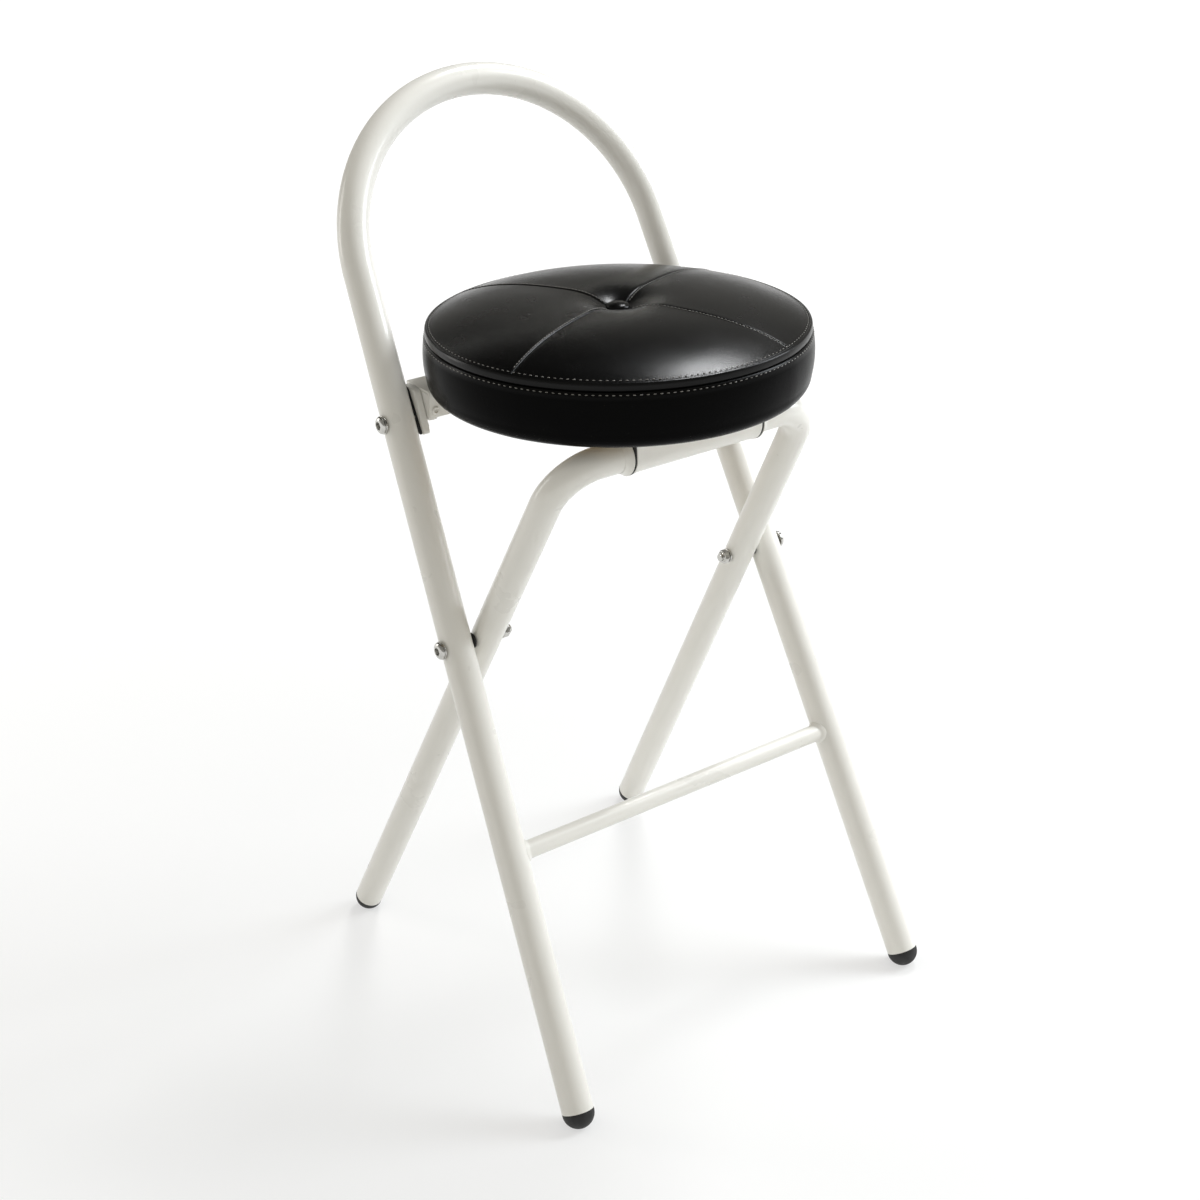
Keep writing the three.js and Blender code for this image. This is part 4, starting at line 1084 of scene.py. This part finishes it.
def quarter_columns(radius, between):
    """Turns from one seam to the next at a radius, gathered near both seams.

    Each row is the turn and the signed distance from the nearest seam, in metres.
    """
    radius = max(radius, 9 * MM)
    near = [(math.asin(min(0.9, d * MM / radius)), d * MM) for d in SEAM_OFFSETS]
    first, last = near[-1][0], math.pi / 2 - near[-1][0]
    middle_rows = [(first + (last - first) * i / (between + 1), 1.0) for i in range(1, between + 1)]
    far = [(math.pi / 2 - t, -d) for t, d in reversed(near[1:])]
    return near + middle_rows + far


def seam_sink(sizes, radius):
    """How deep a seam pulls the crown at a radius: nothing under the button or at the rim."""
    widest = sizes.radius - sizes.welt_inset - sizes.groove
    fade = min(1.0, max(0.0, radius - sizes.dimple_floor * 0.8) / sizes.dimple_floor)
    return sizes.seam_depth * fade * math.sqrt(max(0.0, 1 - (radius / widest) ** 2))


def coarse_shell(sizes):
    """The plain cover that the filling swells, a little smaller than the finished one."""
    rows = cover_profile(sizes, fine=False)
    rows = [(0.0, rows[0][1], "pocket"), *rows, (0.0, rows[-1][1], "crown")]
    bm = bmesh.new()
    verts = []
    for radius, height, part in rows:
        inner = radius - SHELL_GAP if part in ("band", "welt", "bottom") else radius
        drop = SHELL_GAP * 1.5 if part == "crown" and radius > sizes.dimple_floor else 0.0
        verts.append(bm.verts.new((max(0.0, inner), 0, height - drop)))
    edges = [bm.edges.new(pair) for pair in zip(verts, verts[1:])]
    bmesh.ops.spin(bm, geom=verts + edges, axis=(0, 0, 1), cent=(0, 0, 0), dvec=(0, 0, 0),
                   angle=math.tau, steps=96, use_merge=True)
    bmesh.ops.remove_doubles(bm, verts=bm.verts, dist=0.01 * MM)
    bmesh.ops.recalc_face_normals(bm, faces=bm.faces)
    mesh = bpy.data.meshes.new("filling_shell")
    bm.to_mesh(mesh)
    bm.free()
    return mesh


def seam_distance(sizes, point):
    """Plan distance of a point from the nearest of the four seams."""
    turn = math.atan2(point.y, point.x) - sizes.seam_turn
    turn = (turn + math.pi / 4) % (math.pi / 2) - math.pi / 4
    return math.hypot(point.x, point.y) * abs(math.sin(turn))


def swell_cover(sizes):
    """Inflate the plain cover against its sewn lines with cloth.

    The result is a tree of the points as they were, and how far each was moved.
    """
    scene = bpy.context.scene
    shell = bpy.data.objects.new("filling_shell", coarse_shell(sizes))
    scene.collection.objects.link(shell)
    remesh = shell.modifiers.new("Even", "REMESH")
    remesh.mode = "VOXEL"
    remesh.voxel_size = 5 * MM
    bpy.context.view_layer.update()
    graph = bpy.context.evaluated_depsgraph_get()
    even = bpy.data.meshes.new_from_object(shell.evaluated_get(graph))
    shell.modifiers.clear()
    shell.data = even
    widest = sizes.radius - sizes.welt_inset - sizes.groove
    sewn = shell.vertex_groups.new(name="sewn")
    for v in even.vertices:
        radius = math.hypot(v.co.x, v.co.y)
        crown = v.co.z > sizes.band_height + sizes.welt_width and radius < widest - 3 * MM
        rim = abs(v.co.z - sizes.band_height - sizes.welt_width / 2) < 5 * MM and radius > widest - 4 * MM
        seam = crown and seam_distance(sizes, v.co) < 3.2 * MM
        below = v.co.z < 6 * MM or (v.co.z < sizes.board_thickness + 2 * MM and radius < sizes.radius - 12 * MM)
        held = rim or seam or below or (crown and radius < sizes.dimple_floor)
        if seam:
            v.co.z -= seam_sink(sizes, radius)
        sewn.add([v.index], 1.0 if held else 0.0, "REPLACE")
    start = [v.co.copy() for v in even.vertices]
    cloth = shell.modifiers.new("Filling", "CLOTH")
    cloth.settings.use_pressure = True
    cloth.settings.uniform_pressure_force = 4.0
    cloth.settings.effector_weights.gravity = 0.0
    cloth.settings.vertex_group_mass = "sewn"
    cloth.settings.quality = 6
    cloth.settings.mass = 0.05
    cloth.settings.tension_stiffness = 6.0
    cloth.settings.compression_stiffness = 6.0
    cloth.settings.shear_stiffness = 3.0
    cloth.settings.bending_stiffness = 0.4
    cloth.point_cache.frame_start = 1
    cloth.point_cache.frame_end = 20
    for number in range(1, 21):
        scene.frame_set(number)
    graph = bpy.context.evaluated_depsgraph_get()
    swollen = bpy.data.meshes.new_from_object(shell.evaluated_get(graph))
    scene.frame_set(1)
    places = KDTree(len(start))
    moves = []
    for i, (v, before) in enumerate(zip(swollen.vertices, start)):
        move = v.co - before
        if move.length > sizes.swell_limit:
            move = move.normalized() * sizes.swell_limit
        places.insert(before, i)
        moves.append(move)
    places.balance()
    bpy.data.objects.remove(shell)
    return places, moves


def cover_rows(sizes):
    """The cover's rings and columns: place, part, and signed distance from the nearest seam."""
    grid = []
    for radius, height, part in cover_profile(sizes, fine=True):
        ring = []
        for quarter in range(4):
            for k, (turn, off) in enumerate(quarter_columns(radius if part == "crown" else sizes.radius, 20)):
                heading = sizes.seam_turn + quarter * math.pi / 2 + turn
                sink = 0.0
                if part == "crown":
                    share = SEAM_FALL[k] if k < len(SEAM_FALL) else 0.0
                    if off < 0:
                        share = SEAM_FALL[SEAM_OFFSETS.index(round(-off / MM, 3))]
                    sink = share * seam_sink(sizes, radius)
                place = Vector((radius * math.cos(heading), radius * math.sin(heading), height - sink))
                ring.append((place, part, off))
        grid.append(ring)
    return grid


def sewn_cover(sizes, tree):
    """The fine cover: swollen like the simulated one, then creased along its seams."""
    grid = cover_rows(sizes)
    count = len(grid[0])
    rows = [row for ring in grid for row in ring]
    bm = bmesh.new()
    number = bm.verts.layers.int.new("row")
    bmesh.ops.create_grid(bm, x_segments=count, y_segments=len(grid) - 1, size=1.0)
    # A sheet is rolled up into rings, and its first and last columns meet and are merged
    for i, v in enumerate(bm.verts):
        v[number] = i // (count + 1) * count + i % (count + 1) % count
        v.co = rows[v[number]][0]
    bmesh.ops.remove_doubles(bm, verts=bm.verts, dist=MERGE)
    bmesh.ops.holes_fill(bm, edges=[e for e in bm.edges if e.is_boundary], sides=0)
    bmesh.ops.recalc_face_normals(bm, faces=bm.faces)
    bm.normal_update()
    places = [v.co + v.normal * swell_at(sizes, tree, v, *rows[v[number]]) for v in bm.verts]
    for v, place in zip(bm.verts, places):
        start, part, off = rows[v[number]]
        v.co = place + Vector((0, 0, crease_at(sizes, start.xy.length, part, off)))
    bmesh.ops.translate(bm, verts=bm.verts, vec=(SEAT.x, SEAT.y, UNDERSIDE))
    return bm


def swell_at(sizes, tree, vert, place, part, off):
    """How far the filling pushes the cover out at a vertex, fading to the sewn lines."""
    if tree is None or part not in ("crown", "band"):
        return 0.0
    radius = place.xy.length
    places, steps = tree
    near = [(math.exp(-(away / (8 * MM)) ** 2), steps[i]) for _, i, away in places.find_n(vert.co, 24)]
    step = sum((s * w for w, s in near), Vector()) / max(1e-9, sum(w for w, _ in near))
    shift = step.dot(vert.normal)
    if part == "crown":
        edge = sizes.radius - sizes.welt_inset - sizes.groove - radius
        near = min(1.0, seam_distance(sizes, place) / (9 * MM))
        shift *= near * near * (3 - 2 * near) * min(1.0, max(0.0, (radius - sizes.dimple_floor) / (8 * MM)))
    else:
        edge = min(sizes.band_height - place.z, place.z - sizes.bottom_round)
    shift *= max(0.0, min(1.0, edge / (7 * MM)))
    return max(-1.5 * MM, min(sizes.swell_limit, shift))


def crease_at(sizes, radius, part, off):
    """A seam's fine groove and the raised fold of its lapped edge, as a height."""
    widest = sizes.radius - sizes.welt_inset - sizes.groove
    if part != "crown" or radius < sizes.dimple_floor or radius > widest * 0.995:
        return 0.0
    away = abs(off) / MM
    groove = 0.9 * math.exp(-(away / 0.42) ** 2)
    fold = 0.35 * math.exp(-((away - 1.3) / 0.5) ** 2) if off < 0 else 0.0
    return (fold - groove) * MM


class STOOL_OT_cushion(bpy.types.Operator):
    """Build the tufted cushion: its filled cover, seams, welt, stitching and button"""
    bl_idname = "stool.cushion"
    bl_label = "Cushion"

    def execute(self, context):
        sizes = context.scene.stool_cushion
        tree = swell_cover(sizes)
        bm = sewn_cover(sizes, tree)
        surface = BVHTree.FromBMesh(bm)
        cover = place_piece(bm, "cushion_cover", "seat", "cushion_vinyl", ["cushion"], 180.0)
        smooth = cover.modifiers.new("Smooth", "SUBSURF")
        smooth.levels = smooth.render_levels = 1
        self.add_stitches(sizes, surface)
        self.add_button(sizes, surface)
        return {"FINISHED"}

    def add_stitches(self, sizes, surface):
        """Short threads that dip into the cover beside each seam and along the welt."""
        thread = finish_for("stitching")
        pitch = sizes.stitch_pitch
        rows = []
        widest = sizes.radius - sizes.welt_inset - sizes.groove
        down = Vector((0, 0, -1))
        for quarter in range(4):
            heading = sizes.seam_turn + quarter * math.pi / 2
            out = Vector((math.cos(heading), math.sin(heading), 0))
            aside = Vector((out.y, -out.x, 0)) * 1.7 * MM
            first, last = 13 * MM, widest - 3 * MM
            count = int((last - first) / pitch)
            for i in range(count):
                at = out * (first + (i + 0.5) * pitch) + aside
                start = Vector((at.x + SEAT.x, at.y + SEAT.y, UNDERSIDE + STITCH_DROP))
                rows.append((start, down, out))
        seam_bm = self.stitch_row(sizes, surface, rows)
        place_piece(seam_bm, "seam_stitches", "seat", None, material=thread)
        rows = []
        count = int(math.tau * sizes.radius / (pitch * 1.6))
        below = sizes.band_height - 1.6 * MM
        # One line is found from the side, below the welt, and one from above, inside it
        for reach, height, sideways in ((sizes.radius + 20 * MM, below, True),
                                        (widest - 2.2 * MM, STITCH_DROP, False)):
            for i in range(count):
                turn = math.tau * i / count
                out = Vector((math.cos(turn), math.sin(turn), 0))
                start = out * reach + Vector((SEAT.x, SEAT.y, UNDERSIDE + height))
                rows.append((start, -out if sideways else down, Vector((-out.y, out.x, 0.0))))
        welt_bm = self.stitch_row(sizes, surface, rows)
        place_piece(welt_bm, "welt_stitches", "seat", None, material=thread)

    def stitch_row(self, sizes, surface, rows):
        """One small rounded thread for each place, laid on the cover."""
        bm = bmesh.new()
        thick = sizes.thread / 2
        span = sizes.stitch_pitch * 0.36
        for start, direction, along in rows:
            point, normal, _, _ = surface.ray_cast(start, direction, 0.3)
            if point is None:
                continue
            if normal.dot(direction) > 0:
                normal = -normal
            ahead = (along - normal * along.dot(normal)).normalized()
            across = normal.cross(ahead)
            loops = []
            for share, size in ((-1.0, 0.25), (-0.75, 0.8), (-0.35, 1.0), (0.35, 1.0), (0.75, 0.8), (1.0, 0.25)):
                lift = (0.5 - 0.9 * abs(share) ** 3) * thick
                centre = point + ahead * span * share + normal * lift
                turns = [math.tau * i / 6 for i in range(6)]
                loops.append(ring_loop(bm, [centre + (across * math.cos(t) + normal * math.sin(t)) * thick * size
                                            for t in turns]))
            skin(bm, loops)
            bmesh.ops.holes_fill(bm, edges=loops[0] + loops[-1], sides=0)
        return bm

    def add_button(self, sizes, surface):
        """A low domed button covered in the same vinyl, with its cover tucked under."""
        low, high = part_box("cushion_button")
        radius, height = sizes.button_radius, sizes.button_height
        edge = 1.4 * MM
        dome = [(radius * math.cos(t), edge + (height - edge) * math.sin(t))
                for t in [math.pi / 2 * i / 16 for i in range(17)]]
        dome[-1] = (0.0, height)
        under = [(radius - 1.6 * MM + 1.6 * MM * math.sin(t), edge - edge * math.cos(t))
                 for t in [math.pi / 2 * i / 5 for i in range(5)]]
        profile = [(0.0, 0.0), *under, *dome]
        bm = lathe(profile, 96)
        bmesh.ops.translate(bm, verts=bm.verts, vec=(SEAT.x, SEAT.y, low.z))
        button = place_piece(bm, "tuft_button", "seat", "cushion_vinyl", ["cushion_button"], 180.0)


# Stage

class STOOL_OT_stage(bpy.types.Operator):
    """Set up the floor, the lights, the white surroundings and the camera"""
    bl_idname = "stool.stage"
    bl_label = "Stage"

    def execute(self, context):
        scene = context.scene
        self.add_floor(scene)
        self.add_world(scene)
        self.add_lights(scene)
        self.add_camera(scene)
        scene.view_settings.view_transform = "Standard"
        return {"FINISHED"}

    def add_floor(self, scene):
        """A plain floor that shows the stool's shadow and is white to the camera elsewhere."""
        bm = bmesh.new()
        bmesh.ops.create_grid(bm, x_segments=1, y_segments=1, size=12.0)
        mesh = bpy.data.meshes.new("studio_floor")
        bm.to_mesh(mesh)
        bm.free()
        floor = bpy.data.objects.new("studio_floor", mesh)
        scene.collection.objects.link(floor)
        rgb = scene.stool_colours.floor
        material, tree, shader, place, (cloud,) = start_material(
            "matte_floor_paint", rgb, {"Roughness": 0.8, "IOR": 1.5}, [(400, 3.0)])
        tie_patterns(tree, shader, rgb, gloss=(cloud, 0.78, 0.84))
        away = add_node(tree, "ShaderNodeVectorMath", {"operation": "LENGTH"}, links={0: place})
        # The lamps reach less of the floor further out, so the white is raised there
        level = add_node(tree, "ShaderNodeMapRange", links={"Value": away.outputs["Value"]},
                         values={"From Min": 0.4, "From Max": 3.0, "To Min": 1.0, "To Max": 1.6})
        white = add_node(tree, "ShaderNodeEmission", links={"Strength": level.outputs["Result"]})
        share = add_node(tree, "ShaderNodeMath", {"operation": "MULTIPLY"}, {1: 0.58},
                         {0: self.white_rays(tree)})
        mix = add_node(tree, "ShaderNodeMixShader", links={
            0: share.outputs[0], 1: shader.outputs[0], 2: white.outputs[0]})
        output = next(n for n in tree.nodes if n.type == "OUTPUT_MATERIAL")
        tree.links.new(mix.outputs[0], output.inputs["Surface"])
        mesh.materials.append(material)

    def white_rays(self, tree, glossy=None):
        """One for camera, glossy and transmission rays, and nothing for light on the object.

        A share may be given for the glossy rays.
        """
        rays = add_node(tree, "ShaderNodeLightPath").outputs
        mirrored = rays["Is Glossy Ray"]
        if glossy is not None:
            mirrored = add_node(tree, "ShaderNodeMath", {"operation": "MULTIPLY"},
                                links={0: mirrored, 1: glossy}).outputs[0]
        seen = add_node(tree, "ShaderNodeMath", {"operation": "MAXIMUM"}, links={
            0: rays["Is Camera Ray"], 1: rays["Is Transmission Ray"]})
        return add_node(tree, "ShaderNodeMath", {"operation": "MAXIMUM"},
                        links={0: seen.outputs[0], 1: mirrored}).outputs[0]

    def add_world(self, scene):
        """A warm fill with a dark panel high behind the stool, and plain white to the camera."""
        world = bpy.data.worlds.new("white_studio")
        scene.world = world
        world.use_nodes = True
        tree = world.node_tree
        output = next(n for n in tree.nodes if n.type == "OUTPUT_WORLD")
        fill = next(n for n in tree.nodes if n.type == "BACKGROUND")
        fill.inputs["Color"].default_value = (1.0, 0.975, 0.9, 1)
        heading = add_node(tree, "ShaderNodeTexCoord").outputs["Generated"]
        # How squarely a ray points at the middle of the dark panel
        panel = add_node(tree, "ShaderNodeVectorMath", {"operation": "DOT_PRODUCT"},
                         {1: (0.05, 0.57, 0.82)}, {0: heading})
        level = add_node(tree, "ShaderNodeMapRange", {"interpolation_type": "SMOOTHSTEP"},
                         links={"Value": panel.outputs["Value"]},
                         values={"From Min": 0.72, "From Max": 0.97, "To Min": 1.0, "To Max": 0.12})
        # Reflections see a darker room than the one that lights the stool
        mirrored = add_node(tree, "ShaderNodeLightPath").outputs["Is Glossy Ray"]
        fall = add_node(tree, "ShaderNodeMapRange", links={"Value": mirrored},
                        values={"From Min": 0.0, "From Max": 1.0, "To Min": 0.55, "To Max": 0.3})
        strength = add_node(tree, "ShaderNodeMath", {"operation": "MULTIPLY"}, links={
            0: level.outputs["Result"], 1: fall.outputs["Result"]})
        tree.links.new(strength.outputs[0], fill.inputs["Strength"])
        # Near the horizon they see the white surroundings instead
        rise = add_node(tree, "ShaderNodeSeparateXYZ", links={0: heading}).outputs["Z"]
        low = add_node(tree, "ShaderNodeMapRange", {"interpolation_type": "SMOOTHSTEP"},
                       {"From Min": 0.0, "From Max": 0.14, "To Min": 1.0, "To Max": 0.0},
                       {"Value": rise})
        plain = add_node(tree, "ShaderNodeBackground",
                         values={"Color": (1, 1, 1, 1), "Strength": 1.0})
        seen = self.white_rays(tree, low.outputs["Result"])
        mix = add_node(tree, "ShaderNodeMixShader",
                       links={0: seen, 1: fill.outputs[0], 2: plain.outputs[0]})
        tree.links.new(mix.outputs[0], output.inputs["Surface"])

    def add_lights(self, scene):
        """A cool key on the right, a softbox for the crown's sheen and a low warm rim light."""
        rows = [("key_right", (2.0, -0.9, 1.75), (0.9, 1.6), 50.0, (0.9, 0.95, 1.0)),
                ("sheen_right_back", (1.22, 0.47, 2.53), (0.5, 0.5), 28.0, (0.97, 0.985, 1.0)),
                ("rim_left_back", (-1.5, 2.0, 1.1), (0.5, 1.4), 9.0, (1.0, 0.98, 0.95))]
        for name, place, size, power, hue in rows:
            light = bpy.data.lights.new(name, "AREA")
            light.shape = "RECTANGLE"
            light.size, light.size_y = size
            light.energy = power
            light.color = hue
            lamp = bpy.data.objects.new(name, light)
            lamp.location = place
            aim = Vector((0, 0, 0.4)) - Vector(place)
            lamp.rotation_euler = aim.to_track_quat("-Z", "Y").to_euler()
            scene.collection.objects.link(lamp)

    def add_camera(self, scene):
        """The photograph's own viewing place, fitted to the tubes' lines."""
        place = Vector((-0.8575, -1.1737, 1.0260))
        target = Vector((-0.0210, -0.0167, 0.3413))
        roll = -0.019
        ahead = (target - place).normalized()
        right = ahead.cross(Vector((0, 0, 1))).normalized()
        up = right.cross(ahead)
        turned_right = math.cos(roll) * right + math.sin(roll) * up
        turned_up = -math.sin(roll) * right + math.cos(roll) * up
        data = bpy.data.cameras.new("photo_camera")
        data.sensor_width = 36
        data.lens = 59.39
        camera = bpy.data.objects.new("photo_camera", data)
        turned = Matrix((turned_right, turned_up, -ahead)).transposed().to_4x4()
        camera.matrix_world = Matrix.Translation(place) @ turned
        scene.collection.objects.link(camera)
        scene.camera = camera


OPERATORS = (STOOL_OT_hoop, STOOL_OT_leg_frame, STOOL_OT_foot_tips, STOOL_OT_bolts,
             STOOL_OT_saddle, STOOL_OT_rail, STOOL_OT_board, STOOL_OT_cushion, STOOL_OT_stage)
GROUPS = (("stool_tubes", TubeSizes), ("stool_fittings", FittingSizes),
          ("stool_cushion", CushionSizes), ("stool_colours", StoolColours))


class STOOL_PT_sidebar(bpy.types.Panel):
    """The stool's builders and sizes in the 3D view's sidebar."""
    bl_idname = "STOOL_PT_sidebar"
    bl_label = "Folding Bar Stool"
    bl_space_type = "VIEW_3D"
    bl_region_type = "UI"
    bl_category = "Stool"

    def draw(self, context):
        for operator in OPERATORS:
            self.layout.operator(operator.bl_idname)
        for name, group in GROUPS:
            box = self.layout.box()
            box.label(text=group.__doc__)
            for key in group.__annotations__:
                box.prop(getattr(context.scene, name), key)


def register():
    for cls in [group for _, group in GROUPS] + list(OPERATORS) + [STOOL_PT_sidebar]:
        bpy.utils.register_class(cls)
    for name, group in GROUPS:
        setattr(bpy.types.Scene, name, PointerProperty(type=group))


def unregister():
    for name, _ in GROUPS:
        delattr(bpy.types.Scene, name)
    for cls in [STOOL_PT_sidebar] + list(OPERATORS)[::-1] + [group for _, group in GROUPS]:
        bpy.utils.unregister_class(cls)


def main():
    register()
    for operator in OPERATORS:
        group, name = operator.bl_idname.split(".")
        getattr(getattr(bpy.ops, group), name)()


if __name__ == "__main__":
    main()
